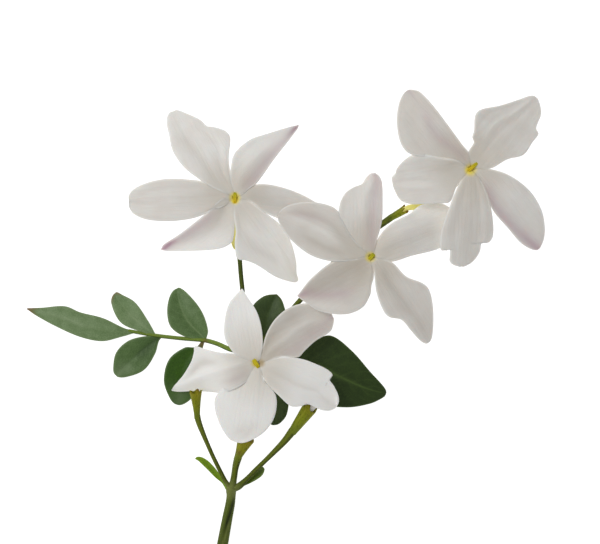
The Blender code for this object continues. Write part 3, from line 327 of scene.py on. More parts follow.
# Routes of the bud and the branches as (x, y, z, radius), and for each branch its tone from dark
# green, 0, to yellow green, 1, at its foot and at its end.
BUD_ROUTE = ((4.1, -19.4, 5.85, 0.8), (5.4, -17.6, 6.15, 1.1), (7.3, -15, 6.4, 1.15),
    (8.9, -12.9, 6.6, 0.25))
NODE_LOWER = (-12.06, -35.97, 1.8)
NODE_UPPER = (-9, -5.8, 4.3)
STEM_BRANCHES = (
    ((0.1, 0), ((-14.61, -51.95, 1, 1.14), (-13.96, -48, 1, 1.14), (-12.85, -42, 1, 1.05),
        (-12.3, -39.2, 1.15, 0.99), (-12.08, -37.3, 1.45, 0.95), (*NODE_LOWER, 1.07),
        (-11.6, -34.2, 1.8, 0.7), (-11, -30, 1.7, 0.62), (-10.3, -27.4, 1.75, 0.6), (-9.9, -24, 2.1, 0.6),
        (-9.8, -20, 2.9, 0.6), (-9.4, -13, 3.9, 0.6), (*NODE_UPPER, 0.85), (-9.1, -3.8, 4.4, 0.55),
        (-9.25, 1.2, 4.4, 0.5), (-9.58, 7.8, 4.5, 0.48), (-9.91, 11.2, 4.6, 0.47),
        (-10.2, 15, 4.78, 0.48))),
    ((0.2, 0.5), ((-9.2, -6.2, 4.25, 0.5), (-6.8, -4.3, 4.9, 0.5), (-3, -1.4, 5.3, 0.5),
        (-0.2, 1.65, 5.2, 0.5), (1.9, 4.3, 5, 0.5), (3.8, 6.4, 4.9, 0.55), (7, 10.2, 4.6, 0.5),
        (11, 14.4, 4.3, 0.5), (15.9, 18.6, 4.2, 0.5), (20.6, 22, 4.4, 0.64), (23.4, 24, 4.98, 0.7))),
    ((0.2, 0.3), ((3.4, 6.4, 4.9, 0.45), (5.4, 6.6, 4.9, 0.45), (8.7, 7.7, 5.05, 0.5))),
    ((0.3, 0.9), ((-12, -35.8, 1.8, 0.52), (-13.22, -34.3, 2.2, 0.46), (-14.52, -31.8, 3.2, 0.44),
        (-16.02, -28.7, 4.4, 0.43), (-17.2, -26, 5.4, 0.45), (-18.28, -23.4, 6.3, 0.52),
        (-19.2, -20.9, 7.1, 0.62), (-19.5, -19.4, 7.6, 0.64))),
    ((0.25, 0.85), ((-12, -36, 1.8, 0.62), (-10.42, -35.3, 1.95, 0.72), (-8.59, -33.6, 2.35, 0.51),
        (-6.84, -31.8, 2.9, 0.49), (-4.57, -29.6, 3.6, 0.5), (-2.35, -27.4, 4.25, 0.58),
        (-0.25, -25.2, 4.75, 0.71), (1.5, -22.95, 5.15, 0.88))),
    ((0.6, 0.75), ((-11.75, -34.6, 1.8, 0.6), (-11.42, -33.6, 2, 0.59), (-11.22, -31.8, 2.3, 0.64),
        (-11, -30.7, 2.75, 0.67), (-10.45, -28.8, 3.6, 0.76))),
)

# A dark furrow of painted shade winds along the main stalk below the lower node, with a
# painted highlight streak beside it
FURROW_TOP = -36.5
FURROW_ANGLE = 34.0     # where it starts, from the right
FURROW_TURN = 7.5       # degrees that it turns in a millimetre
FURROW_WIDTH = 22.0
STREAK_ASIDE = 32.0
STREAK_WIDTH = 11.0

LEAFLETS_LEFT = (
    blade(167.9, ((2.3, 1.6), (6.4, 3.5), (11.4, 3.6), (17.3, 2.4), (22, 1)),
        ((2.1, -0.3), (7.3, -1.5), (12.5, -1.7), (16, -2.3), (21, -0.9)),
        (24.1, 0), -0.3, -2.3, 0.3, foot=(-33.4, -1.3, 2.6), sharp=True, tone=0.1, rust=0.8, rib=0.25,
            veins=0.4,
        folds=((0.25, 1.2, 0, 0, 1, 0),),
        shades=((-0.9, 0.8, 0.4, 0, 0.85, 0.05), (0.2, 0.8, 0.1, -0.2, 0.3, -0.2),
            (-0.3, 1.2, 0.2, 0.5, 0.5, 0.5))),
    blade(117.7, ((2.7, 3.8), (5.8, 5.4), (8.9, 4.7), (11.8, 2.6)),
        ((1.4, -1.5), (5.6, -2.2), (10.2, -1.4)),
        (12.7, 0.2), 0.2, -0.6, 0.35, foot=(-17.8, -2.9, 4.2), tone=0.48, rib=0.8, veins=0.5,
        folds=((-0.35, 1.2, 0, 0, 1, 0),),
        shades=((0.5, 1.6, 0.1, -0.4, 0.9, -0.4), (-0.3, 1.4, 0.2, 0.5, 0.9, 0.4))),
    blade(-110.7, ((1.9, 0.5), (5.2, 1.1), (11, 2.4), (13.8, 1.4)),
        ((1.7, -1), (2.7, -3.3), (6.3, -5.6), (11, -5.1), (14, -2.8)),
        (15.1, -0.6), -0.7, -2.2, 0.35, foot=(-18.2, -3.4, 4.1), tone=1, rib=0.1, veins=0.1, stub=1,
        folds=((-0.2, 1.2, 0, 0, 1, 0),),
        shades=((-0.8, 3, 0.7, -0.3, 1, 0),)),
    blade(132.5, ((2, 1.5), (6.8, 3.6), (11.4, 2.3)),
        ((3.3, -1.1), (8, -1.7), (11, -0.8)),
        (12.5, 0.2), 0.2, -0.3, 0.35, foot=(-29, -1.9, 3.2), rust=0.6, rib=0.8, veins=0.4,
        folds=((-0.35, 1.1, 0, 0, 1, 0),),
        shades=((-1, 1.5, 0.2, 0.1, 0.6, 0.1), (0.4, 1.5, 0.85, 0.3, 1, 0))),
    blade(-137.9, ((0.9, 0.5), (3.4, 2), (7.6, 3), (11.6, 1.5)),
        ((1.6, -1.8), (5.6, -4), (9.4, -4), (12.2, -2)),
        (13, -0.3), -0.2, -1, 0.35, foot=(-27.6, -2.4, 3.15), tone=0.6, rib=-0.7, veins=0.4,
        folds=((-0.2, 1.1, 0, 0, 1, 0),),
        shades=((1.2, 1.6, 0, -0.1, 0.5, -0.15), (-0.8, 2, 0.7, -0.3, 1, 0))),
)
LEAFLETS_RIGHT = (
    blade(-18.1, ((1.5, 1.7), (4.2, 6), (7.2, 8.1), (12.5, 6.4), (18.1, 3.1), (21.6, 1.1)),
        ((1.5, -1.5), (5, -5), (9.6, -6.8), (15.5, -5.8), (20, -3.5), (22, -1.7)),
        (22.7, -0.3), -0.6, -3.58, 0.35, foot=(0.5, -7.6, 4), rib=1.4, veins=0.5,
        folds=((-0.3, 1, 0, 0, 1, 0),)),
    blade(77.2, ((2.6, 1.3), (5.9, 3.6), (8.8, 4.6), (10.5, 4.3), (12.3, 3.1), (13.3, 1.8)),
        ((3, -0.8), (8, -3.2), (9.7, -3.3), (11.8, -2.3), (13.1, -1.4)),
        (13.9, -0.2), -0.7, -1.2, 0.35, foot=(-5.3, -6.6, 4.15), sharp=True, tone=0.5, rust=0.4, rib=0.2,
            veins=0.3,
        folds=((-0.3, 1, 0, 0, 1, 0),),
        shades=((0.8, 1.6, 0.65, -0.4, 1, -0.1),)),
    blade(-84.6, ((2.5, 1.1), (7.6, 3.5), (12.4, 2.9)),
        ((2.7, -0.6), (8.3, -2.5), (12.8, -1.8)),
        (14.5, 0.1), -0.6, -2, 0.35, foot=(-3.9, -7.4, 4.1), tone=0.45, rib=0.2, veins=0.3,
        folds=((-0.3, 1, 0, 0, 1, 0),)),
)

# Leaves: the rachis as (x, y, z, radius), and the colours, 0 to 255, of pale and deep skin, veins
# and tip. The left leaf has a brown joint.
LEAVES = {
    "left": dict(
        leaflets=LEAFLETS_LEFT,
        colours=((126, 150, 104), (56, 92, 12), (140, 160, 112), (130, 84, 50)),
        rachis=((-10.2, -5.6, 4.3, 0.52), (-12.3, -5.15, 4.3, 0.5), (-15.2, -3.9, 4.3, 0.48),
            (-17.8, -3.2, 4.2, 0.46), (-23.1, -2.75, 3.8, 0.42), (-28.8, -2.1, 3.2, 0.4),
            (-34.6, -1.1, 2.5, 0.36))),
    "right": dict(
        leaflets=LEAFLETS_RIGHT,
        colours=((46, 66, 16), (82, 102, 58), (92, 118, 52), (90, 90, 40)),
        rachis=((-7.8, -6.05, 4.3, 0.5), (-6.2, -6.5, 4.25, 0.48), (-3.9, -7.2, 4.2, 0.46),
            (1.4, -7.9, 3.95, 0.42))),
}
RACHIS_JOINT = (-17.7, -3.5, 4.3)
BRACTS = {
    "left": blade(136.8, ((1.5, -0.2), (3.4, -0.1), (6.1, -0.2), (8.7, -0.2)),
        ((1.5, -0.9), (3.4, -1.3), (5.5, -1.6), (7.2, -1.65), (8.7, -1.3)),
        (9.5, -0.3), 0, 0.6, 0.25, foot=(-13.13, -35.75, 1.5), tone=1, rib=0.3, veins=0.3,
        folds=((-0.15, 0.5, 0, 0, 1, 0),),
        shades=((-0.5, 0.4, 0, -0.8, 1, -0.6), (0.6, 0.5, 0.2, -0.5, 1, -0.3))),
    "right": blade(40.2, ((1.1, 0.5), (3.1, 0.8), (4.8, 0.9), (6.2, 0.6)),
        ((0.6, -0.3), (2.1, -0.7), (3.8, -1.05), (5.2, -1.1), (6.2, -0.7)),
        (6.6, 0), 0, 0.5, 0.25, foot=(-9.97, -35.42, 1.2), tone=0.3, rib=0.2, veins=0.2,
        folds=((-0.15, 0.5, 0, 0, 1, 0),),
        shades=((-0.6, 0.6, 0.75, 0, 1, 0),)),
}
BRACT_COLOURS = ((60, 80, 10), (132, 164, 12), (140, 168, 60), (120, 120, 40))

# Camera: the photograph looks straight down from far away.
CAMERA_HEIGHT = 2000.0
VIEW_WIDTH = 132.0
VIEW_CENTRE = (3.06, 11.82)
SENSOR = 36.0

# Light and floor
SUN_HEADING = 150.0
SUN_ELEVATION = 55.0
SUN_SOFTNESS = 35.0
SUN_STRENGTH = 1.2
WORLD_STRENGTH = 0.43
WHITE = (1.0, 1.0, 1.0, 1.0)
FLOOR_SIZE = 1500.0
FLOOR_COLOUR = (0.4, 0.4, 0.4, 1.0)
FLOOR_GLOW = 0.95


# Curves and surfaces

def smooth_step(low, high, value):
    x = np.clip((value - low) / (high - low), 0, 1)
    return x * x * (3 - 2 * x)


def smooth_points(points, count, beyond=None):
    """Reads count points, evenly spread, from a smooth curve through the given ones.

    The curve leaves its last point toward the one beyond, where there is one.
    """
    points = np.array(points, float)
    chords = norm(np.diff(points, axis=0), axis=1)
    knots = np.concatenate([[0], np.cumsum(chords)])
    low = np.maximum(np.arange(len(points)) - 1, 0)
    high = np.minimum(np.arange(len(points)) + 1, len(points) - 1)
    slopes = (points[high] - points[low]) / (knots[high] - knots[low])[:, None]
    if beyond is not None:
        onward = np.array(beyond, float)
        slopes[-1] = (onward - points[-2]) / (chords[-1] + norm(onward - points[-1]))
    places = np.linspace(0, knots[-1], count)
    segment = np.clip(np.searchsorted(knots, places, side="left") - 1, 0, len(points) - 2)
    span = chords[segment][:, None]
    s = (places - knots[segment])[:, None] / span
    return ((2 * s ** 3 - 3 * s ** 2 + 1) * points[segment]
            + (s ** 3 - 2 * s ** 2 + s) * span * slopes[segment]
            + (3 * s ** 2 - 2 * s ** 3) * points[segment + 1]
            + (s ** 3 - s ** 2) * span * slopes[segment + 1])


def along_lines(lines, t, v, half_width):
    """The sum of lines on a blade, each at its strength there and less with the distance across."""
    total = 0 * t
    for strength, width, *path in lines:
        stops, places = path[::2], path[1::2]
        distance = (v - np.interp(t, stops, places)) * half_width / width
        profile = np.exp(1 - np.sqrt(1 + 4 * distance ** 2))
        if stops[0] > 0:
            profile = profile * smooth_step(stops[0] - LINE_FADE, stops[0] + LINE_FADE, t)
        if stops[-1] < 1:
            profile = profile * smooth_step(stops[-1] + LINE_FADE, stops[-1] - LINE_FADE, t)
        total = total + strength * profile
    return total


def patch(points, faces, **values):
    """A part of a piece, with what its material reads: a number for each point, or one for all."""
    return dict(points=np.asarray(points, float), faces=faces, values=values)


def grid_faces(rows, columns, start=0, wrap=False, flip=False):
    """Quads of a grid whose points run along its columns first."""
    wide = columns if wrap else columns + 1
    faces = []
    for row in range(start, start + rows * wide, wide):
        for j in range(columns):
            a, b = row + j, row + (j + 1) % wide
            faces.append((a, b, b + wide, a + wide)[::-1 if flip else 1])
    return faces


def round_faces(rows, sides, caps=True):
    faces = grid_faces(rows, sides, wrap=True)
    if caps:
        faces.append(tuple(range(sides))[::-1])
        faces.append(tuple(rows * sides + k for k in range(sides)))
    return faces


def round_grain(along, angle, shift):
    """Where the points of a round part read the noise of their material."""
    flat = 0 * along
    across = ROD_GRAIN_RADIUS * np.cos(angle) + flat
    upward = ROD_GRAIN_RADIUS * np.sin(angle) + flat + shift
    return np.stack([along, across, upward], axis=-1).reshape(-1, 3)


def form_places(left, right, along, out, length):
    """Smooths two borders into a calm form without notches, and says where points lie on it.

    Gives t along it, v across it and its half width there.
    """
    for line in (left, right):
        for _ in range(FORM_PASSES):
            line[1:-1] = (line[:-2] + 2 * line[1:-1] + line[2:]) / 4
    stations = np.maximum.accumulate((left[:, 0] + right[:, 0]) / 2)
    half = np.interp(along, stations, (left[:, 1] - right[:, 1]) / 2)
    middle = np.interp(along, stations, (left[:, 1] + right[:, 1]) / 2)
    return np.clip(along / length, 0, 1), np.clip((middle - out) / half, -1, 1), half


def blade_patch(shape, foot, slope, index, rows, columns, thickness, root, funnel=False):
    """The skin of a petal or leaflet, both faces and the rim."""
    heading = math.radians(shape["heading"])
    tip_along, tip_out = shape["tip"]
    root_start, root_half = root
    tip_half = SHARP_TIP_HALF_WIDTH if shape["sharp"] else TIP_HALF_WIDTH
    borders = []
    for side, key, other in ((1, "left", "right"), (-1, "right", "left")):
        line = ((root_start, side * root_half), *shape[key], (tip_along, tip_out + side * tip_half))
        beyond = None if shape["sharp"] else shape[other][-1]
        borders.append([smooth_points(line, count + 1, beyond) for count in (rows, FORM_ROWS)])
    (left, form_left), (right, form_right) = borders
    t = np.linspace(0, 1, rows + 1)[:, None]
    v = np.linspace(-1, 1, columns + 1)[None, :]
    u = (v + 1) / 2
    along = left[:, :1] * (1 - u) + right[:, :1] * u
    out = left[:, 1:] * (1 - u) + right[:, 1:] * u
    half = 0.5 * norm(left - right, axis=1)[:, None]
    x = along * math.cos(heading) - out * math.sin(heading)
    y = along * math.sin(heading) + out * math.cos(heading)
    edge = np.minimum((1 - np.abs(v)) * half, (1 - t) * tip_along)
    t, v, half = form_places(form_left, form_right, along, out, tip_along)

    settle = smooth_step(0, SETTLE_END, t)
    relief = settle * along_lines(shape["folds"], t, v, half)
    z = slope[0] * x + slope[1] * y + relief
    z = z + 4 * shape["mid"] * t * (1 - t) + shape["end"] * t * (2 * t - 1)
    z = z + shape["cup"] * np.sin(math.pi * t) * v ** 2 - shape["twist"] * t * v
    z = z + shape["lift"] * np.sin(math.pi * np.minimum(t / LIFT_END, 1)) ** 2
    rise, first, last = shape["curl"]
    rise = rise * smooth_step(first - CURL_FADE, first + CURL_FADE, t)
    z = z + rise * smooth_step(last + CURL_FADE, last - CURL_FADE, t) * smooth_step(CURL_START, 1, v)
    wave = np.sin(LONG_RIPPLE * along + shape["heading"] + 2 * v)
    wave = wave + SHORT_RIPPLE_SHARE * np.sin(SHORT_RIPPLE * along + 1.7 * index)
    z = z + shape["ripple"] * settle * wave * v ** 2
    if funnel:
        dip = np.clip((THROAT_RADIUS - np.hypot(x, y)) / (THROAT_RADIUS - THROAT_FLOOR), 0, 1)
        z = z - THROAT_DEPTH * dip ** 2

    middle = np.stack([foot[0] + x, foot[1] + y, foot[2] + z], axis=-1)
    normal = np.cross(np.gradient(middle, axis=1), np.gradient(middle, axis=0))
    normal /= norm(normal, axis=-1, keepdims=True)
    swell = MARGIN_SHARE + (1 - MARGIN_SHARE) * smooth_step(0, MARGIN_WIDTH, edge)
    offset = normal * (thickness / 2 * swell)[..., None]
    wide = columns + 1
    under = (rows + 1) * wide
    faces = grid_faces(rows, columns, flip=True) + grid_faces(rows, columns, start=under)
    rim = list(range(wide)) + [i * wide + columns for i in range(1, rows + 1)]
    rim += [rows * wide + j for j in range(columns - 1, -1, -1)]
    rim += [i * wide for i in range(rows - 1, 0, -1)]
    for here, after in zip(rim, rim[1:] + rim[:1]):
        faces.append((here, after, after + under, here + under))

    def both(values):
        return np.concatenate([values.ravel(), values.ravel()])

    grain = np.stack([along, out, np.full_like(t, GRAIN_STEP * index)], axis=-1).reshape(-1, 3)
    return patch(np.concatenate([middle + offset, middle - offset]).reshape(-1, 3), faces,
                 along=both(t), across=both(v), edge=both(edge), relief=both(relief),
                 stain=both(along_lines(shape["stains"], t, v, half)),
                 shade=both(along_lines(shape["shades"], t, v, half)), tone=shape["tone"],
                 rust=shape["rust"], reach=both(np.hypot(x, y)), grain=np.concatenate([grain, grain]))


def sweep_frames(centres):
    """For each centre, two unit vectors square to the route and turning as little as possible."""
    tangents = np.gradient(centres, axis=0)
    tangents /= norm(tangents, axis=1, keepdims=True)
    across = np.empty_like(tangents)
    side = np.cross(tangents[0], (0, 0, 1))
    if norm(side) < 0.2:
        side = np.cross(tangents[0], (0, 1, 0))
    for i, tangent in enumerate(tangents):
        side = side - tangent * side.dot(tangent)
        side /= norm(side)
        across[i] = side
    return across, np.cross(across, tangents)


def sweep_patch(route, sides, ridge=0.0, tones=(0, 0), caps=True, index=0):
    """A rod along a route of (x, y, z, radius), with rounded ridges along it."""
    route = np.asarray(route, float)
    centres = route[:, :3]
    across, upward = sweep_frames(centres)
    angle = 2 * math.pi * np.arange(sides) / sides
    section = 1 + ridge * np.cos(RIDGES * angle)
    spokes = across[:, None] * np.cos(angle)[:, None] + upward[:, None] * np.sin(angle)[:, None]
    points = centres[:, None] + spokes * (route[:, 3, None] * section)[..., None]
    steps = norm(np.diff(centres, axis=0), axis=1)
    along = np.concatenate([[0], np.cumsum(steps)])[:, None] + 0 * angle
    share = (along / along.max()).ravel()
    return patch(points.reshape(-1, 3), round_faces(len(route) - 1, sides, caps), along=share,
                 across=(angle / (2 * math.pi) + 0 * along).ravel(),
                 tone=tones[0] + (tones[1] - tones[0]) * share,
                 groove=(0.5 - 0.5 * np.cos(RIDGES * angle) + 0 * along).ravel(),
                 grain=round_grain(along, angle, ROD_GRAIN_STEP * index))


def add_object(name, data):
    made = bpy.data.objects.new(name, data)
    bpy.context.scene.collection.objects.link(made)
    return made


def build(name, patches, material, node):
    """Joins patches in one piece, which stands for a node of the frame."""
    faces, start = [], 0
    for one in patches:
        faces += [tuple(start + k for k in face) for face in one["faces"]]
        start += len(one["points"])
    mesh = bpy.data.meshes.new(name)
    mesh.from_pydata((np.concatenate([one["points"] for one in patches]) * MM).tolist(), [], faces)
    for key in sorted({key for one in patches for key in one["values"]}):
        kind, word, size = ("FLOAT_VECTOR", "vector", (3,)) if key == "grain" else ("FLOAT", "value", ())
        values = [np.broadcast_to(one["values"].get(key, 0), (len(one["points"]), *size))
                  for one in patches]
        layer = mesh.attributes.new(key, kind, "POINT")
        layer.data.foreach_set(word, np.concatenate(values).astype(np.float32).ravel())
    mesh.shade_smooth()
    mesh.materials.append(material)
    piece = add_object(name, mesh)
    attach(piece, "root")
    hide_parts(node)


# Materials

class Shader:
    """A material's nodes, made one call at a time, and its colour so far.

    Where a number is asked for, a socket may stand for it, or the name of a value that the
    points of a piece carry.
    """

    def __init__(self, name, colour, roughness, specular):
        self.material = bpy.data.materials.new(name)
        self.material.use_nodes = True
        self.tree = self.material.node_tree
        self.colour = colour
        self.put("Base Color", colour)
        self.put("Roughness", roughness)
        self.put("Specular IOR Level", specular)

    def put(self, key, value):
        self.feed(self.tree.nodes["Principled BSDF"].inputs[key], value)

    def feed(self, socket, value):
        if isinstance(value, str):
            value = self.add("Attribute", dict(attribute_name=value)).outputs["Fac"]
        if isinstance(value, bpy.types.NodeSocket):
            self.tree.links.new(value, socket)
        else:
            socket.default_value = value

    def add(self, kind, settings, **inputs):
        made = self.tree.nodes.new("ShaderNode" + kind)
        for key, value in settings.items():
            setattr(made, key, value)
        for key, value in inputs.items():
            self.feed(made.inputs[key.replace("_", " ")], value)
        return made

    def noise(self, stretch, detail, low=0.35, high=0.65):
        """Noise over the grain of a piece, spread to run from 0 to 1."""
        place = self.add("VectorMath", dict(operation="MULTIPLY"))
        grain = self.add("Attribute", dict(attribute_name="grain"))
        self.feed(place.inputs[0], grain.outputs["Vector"])
        self.feed(place.inputs[1], stretch)
        made = self.add("TexNoise", {}, Vector=place.outputs["Vector"], Scale=1, Detail=detail)
        return self.span(made.outputs["Fac"], low, high)

    def span(self, value, low, high, first=0, last=1):
        made = self.add("MapRange", dict(interpolation_type="SMOOTHSTEP"), Value=value, From_Min=low,
                        From_Max=high, To_Min=first, To_Max=last)
        return made.outputs["Result"]

    def math(self, operation, a, b):
        made = self.add("Math", dict(operation=operation))
        self.feed(made.inputs[0], a)
        self.feed(made.inputs[1], b)
        return made.outputs["Value"]

    def times(self, a, b):
        return self.math("MULTIPLY", a, b)

    def plus(self, a, b):
        return self.math("ADD", a, b)

    def tint(self, share, strength, colour, blend="MIX"):
        """Lays a colour over the one so far, wherever share times strength is above 0."""
        made = self.add("Mix", dict(data_type="RGBA", blend_type=blend))
        self.feed(made.inputs[0], self.times(share, strength))
        self.feed(made.inputs[6], self.colour)
        self.feed(made.inputs[7], srgb(*colour))
        self.colour = made.outputs[2]

    def finish(self, height, depth):
        """The finished material, with the colour so far and a relief."""
        bump = self.add("Bump", {}, Height=height, Distance=depth * MM, Strength=1)
        self.put("Normal", bump.outputs["Normal"])
        self.put("Base Color", self.colour)
        return self.material


def srgb(*colour):
    """A colour as seen, 0 to 255, in linear light."""
    shares = [c / 255 for c in colour]
    return (*(c / 12.92 if c <= 0.04045 else ((c + 0.055) / 1.055) ** 2.4 for c in shares), 1)


def petal_material():
    made = Shader("petal_skin", srgb(233, 232, 228), 0.55, 0.3)
    made.put("Subsurface Weight", 0.2)
    made.put("Subsurface Radius", (1, 0.8, 0.65))
    made.put("Subsurface Scale", 0.35 * MM)
    made.put("Sheen Weight", 0.12)
    made.put("Sheen Roughness", 0.4)
    veins = made.noise((0.16, 1.5, 1), 4)
    patches = made.noise((0.2, 0.22, 1), 2)
    cells = made.noise((5, 5, 1), 2)
    made.tint(patches, 1, (229, 226, 221))
    made.tint(veins, 0.14, (214, 209, 201))
    # tone on a petal: even painted shade, and even painted light where it is below 0
    made.tint("tone", 1, (178, 166, 148))
    made.tint("tone", -1, (252, 251, 248))
    made.tint(made.span("reach", 12, 2), 0.55, (206, 197, 180))
    # painted shade in the valleys of the folds, where relief is below 0
    made.tint(made.span("relief", -0.05, -0.5), 0.3, (190, 182, 170))
    made.tint("shade", 0.55, (178, 167, 152))
    made.tint("shade", -0.6, (247, 247, 243))
    made.tint("stain", 0.55, (190, 158, 170))
    # painted highlight along the petal margins, away from the throat
    rim = made.times(made.span("edge", 0.55, 0.1), made.span("reach", 2, 4))
    made.tint(rim, 0.5, (248, 247, 243))
    made.tint("halo", 0.95, (248, 228, 104))
    # a halo below 0 is a beige painted shade in the hollow of the throat
    made.tint("halo", -0.8, (186, 164, 122))
    made.tint("sap", 1, (226, 218, 96))
    made.put("Roughness", made.span(cells, 0, 1, 0.5, 0.65))
    return made.finish(made.plus(made.times(veins, 0.8), made.times(cells, 0.25)), 0.035)


def leaf_material(name, pale, deep, vein, tip):
    made = Shader(name, srgb(*pale), 0.5, 0.3)
    mottle = made.noise((0.5, 0.5, 1), 4)
    cells = made.noise((3.5, 3.5, 1), 3)
    made.tint("tone", 1, deep)
    made.tint(mottle, 0.5, (210, 220, 196), "MULTIPLY")
    made.tint(cells, 0.4, (165, 180, 155), "MULTIPLY")
    made.tint("shade", 0.6, (150, 172, 120), "MULTIPLY")
    made.tint("shade", -0.15, (190, 204, 170))
    made.tint("vein", 0.24, vein)
    made.tint("rib", 0.5, vein)
    made.tint("rib", -0.5, (140, 150, 130), "MULTIPLY")
    made.tint(made.span("edge", 0.45, 0.1), 0.3, vein)
    brown = made.times(made.span("along", 0.86, 1), made.span("edge", 1, 0.1))
    made.tint(brown, "rust", tip)
    made.tint("stalk", 1, (112, 134, 44))
    # painted shade on the underside of the rachis
    made.tint("under", 1, (60, 84, 22))
    made.tint("joint", 0.8, (104, 80, 44))
    made.put("Roughness", made.span(mottle, 0, 1, 0.45, 0.56))
    return made.finish(made.plus(made.times(cells, 0.4), made.times("vein", 0.8)), 0.03)


def stem_material():
    made = Shader("stem_skin", srgb(74, 88, 24), 0.6, 0.15)
    streaks = made.noise((0.4, 1.6, 1.6), 4)
    made.tint("tone", 1, (130, 142, 34))
    made.tint(streaks, 0.4, (110, 122, 46))
    # painted shade in the grooves, deepest on the side away from the light, and along the stalk's furrow
    made.tint("groove", 0.64, (20, 30, 4))
    # lighter at the swollen joints, and a painted highlight along the streak on the stalk
    made.tint("swell", 0.75, (130, 138, 74))
    made.tint("pith", 1, (188, 190, 140))
    return made.finish(made.plus(streaks, made.noise((3, 4, 4), 2)), 0.05)


def calyx_material():
    made = Shader("calyx_skin", srgb(108, 132, 22), 0.6, 0.15)
    streaks = made.noise((0.6, 1.4, 1.4), 4)
    specks = made.noise((2.2, 1.4, 1.4), 2, 0.6, 0.68)
    made.tint("tone", 1, (152, 152, 26))
    made.tint(streaks, 0.45, (108, 114, 26))
    made.tint(specks, 0.75, (72, 62, 14))
    made.tint("rib", 0.3, (168, 164, 60))
    ripe = made.times(made.span("along", 0.3, 0.7), "tone")
    made.tint(ripe, 0.5, (176, 146, 30))
    made.tint(made.span("along", 0.75, 0.95), 0.85, (112, 68, 28))
    made.tint("spot", 0.75, (116, 84, 44))
    made.tint(made.span("along", 0.3, 0), 1, (116, 130, 36))
    return made.finish(made.plus(streaks, made.noise((4, 4, 4), 2)), 0.05)


def anther_material():
    made = Shader("anther_skin", srgb(188, 196, 24), 0.55, 0.35)
    grains = made.noise((6, 6, 6), 2)
    made.tint("tone", 1, (255, 218, 36))
    made.tint(grains, 0.2, (224, 190, 40))
    # painted shade in the grooves along each pollen cell
    made.tint("groove", 0.15, (160, 150, 30))
    return made.finish(grains, 0.03)


# Pieces

def flower_frame(flower):
    """The middle of a flower's throat and the axis that runs up out of it."""
    axis = np.array((-flower["slope"][0], -flower["slope"][1], 1))
    return np.array(flower["centre"]), axis / norm(axis)


def tube_patch(key, flower):
    """The corolla tube from inside the calyx to the flare under the petals."""
    centre, axis = flower_frame(flower)
    foot, mouth = np.array(CALYCES[key]["foot"]), np.array(CALYCES[key]["mouth"])
    outward = (mouth - foot) / norm(mouth - foot)
    radius = flower["foot_radius"]
    route = [(*(foot + (mouth - foot) * 0.6), radius * 0.85)]
    route.append((*(mouth + outward * (CALYCES[key]["tooth"] + 0.3)), radius))
    route += [(*p, radius + 0.12 * (i + 1)) for i, p in enumerate(flower["tube"])]
    route += [(*(centre - axis * depth), wide) for depth, wide in FUNNEL_OUTSIDE]
    made = sweep_patch(smooth_points(route, TUBE_STEPS), TUBE_SIDES, caps=False, index=7)
    along = made["values"]["along"]
    made["values"].update(reach=10 - 4 * along, edge=2, sap=0.85 * smooth_step(0.75, 0.35, along))
    return made


def throat_patch(flower):
    """The inside of the throat, from the petals' feet down to its floor."""
    centre, axis = flower_frame(flower)
    route = [(*(centre - axis * depth), wide) for depth, wide in FUNNEL_INSIDE]
    made = sweep_patch(smooth_points(route, THROAT_STEPS), TUBE_SIDES, caps=False, index=8)
    made["values"]["reach"] = norm(np.cross(made["points"] - centre, axis), axis=1)
    return made


def make_flower(key, flower, material):
    petals = [blade_patch(shape, flower["centre"], flower["slope"], index, **PETAL)
              for index, shape in enumerate(flower["petals"])]
    petals.append(throat_patch(flower))
    for one in petals:
        one["values"]["halo"] = 0
        for strength, x, y, inner, outer in flower["halos"]:
            place = np.array(flower["centre"][:2]) + (x, y)
            away = norm(one["points"][:, :2] - place, axis=1)
            one["values"]["halo"] += strength * smooth_step(outer, inner, away)
    build("petals_" + key, petals + [tube_patch(key, flower)], material, "corolla_" + key)


def make_stamens(key, flower, material):
    """Two pollen cells side by side, each with its seam, on a short filament."""
    centre, axis = flower_frame(flower)
    beside, heading, half_length, half_width, ripe = flower["anthers"]
    heading = math.radians(heading)
    lengthwise = np.array((math.cos(heading), math.sin(heading), 0))
    lengthwise -= axis * lengthwise.dot(axis)
    sideways = np.cross(axis, lengthwise)
    centre = centre + (*beside, 0)
    place = np.linspace(-1, 1, ANTHER_STEPS)[:, None]
    spine = centre + axis * (ANTHER_RISE - 0.12 * place ** 2) + lengthwise * place * half_length
    radius = 0.05 + 0.6 * half_width * np.sqrt(np.maximum(1 - place ** 2, 0))
    cells = []
    for side in (-1, 1):
        middle = spine + sideways * side * half_width * (0.4 + 0.1 * place ** 2)
        route = np.hstack([middle, radius])
        cells.append(sweep_patch(route, ANTHER_SIDES, ANTHER_RIDGE, ripe, index=side))
    filament = [(*(centre - axis * (THROAT_DEPTH + 0.3)), 0.26), (*centre, 0.3)]
    cells.append(sweep_patch(smooth_points(filament, 8), FILAMENT_SIDES))
    build("stamens_" + key, cells, material, "anthers_" + key)


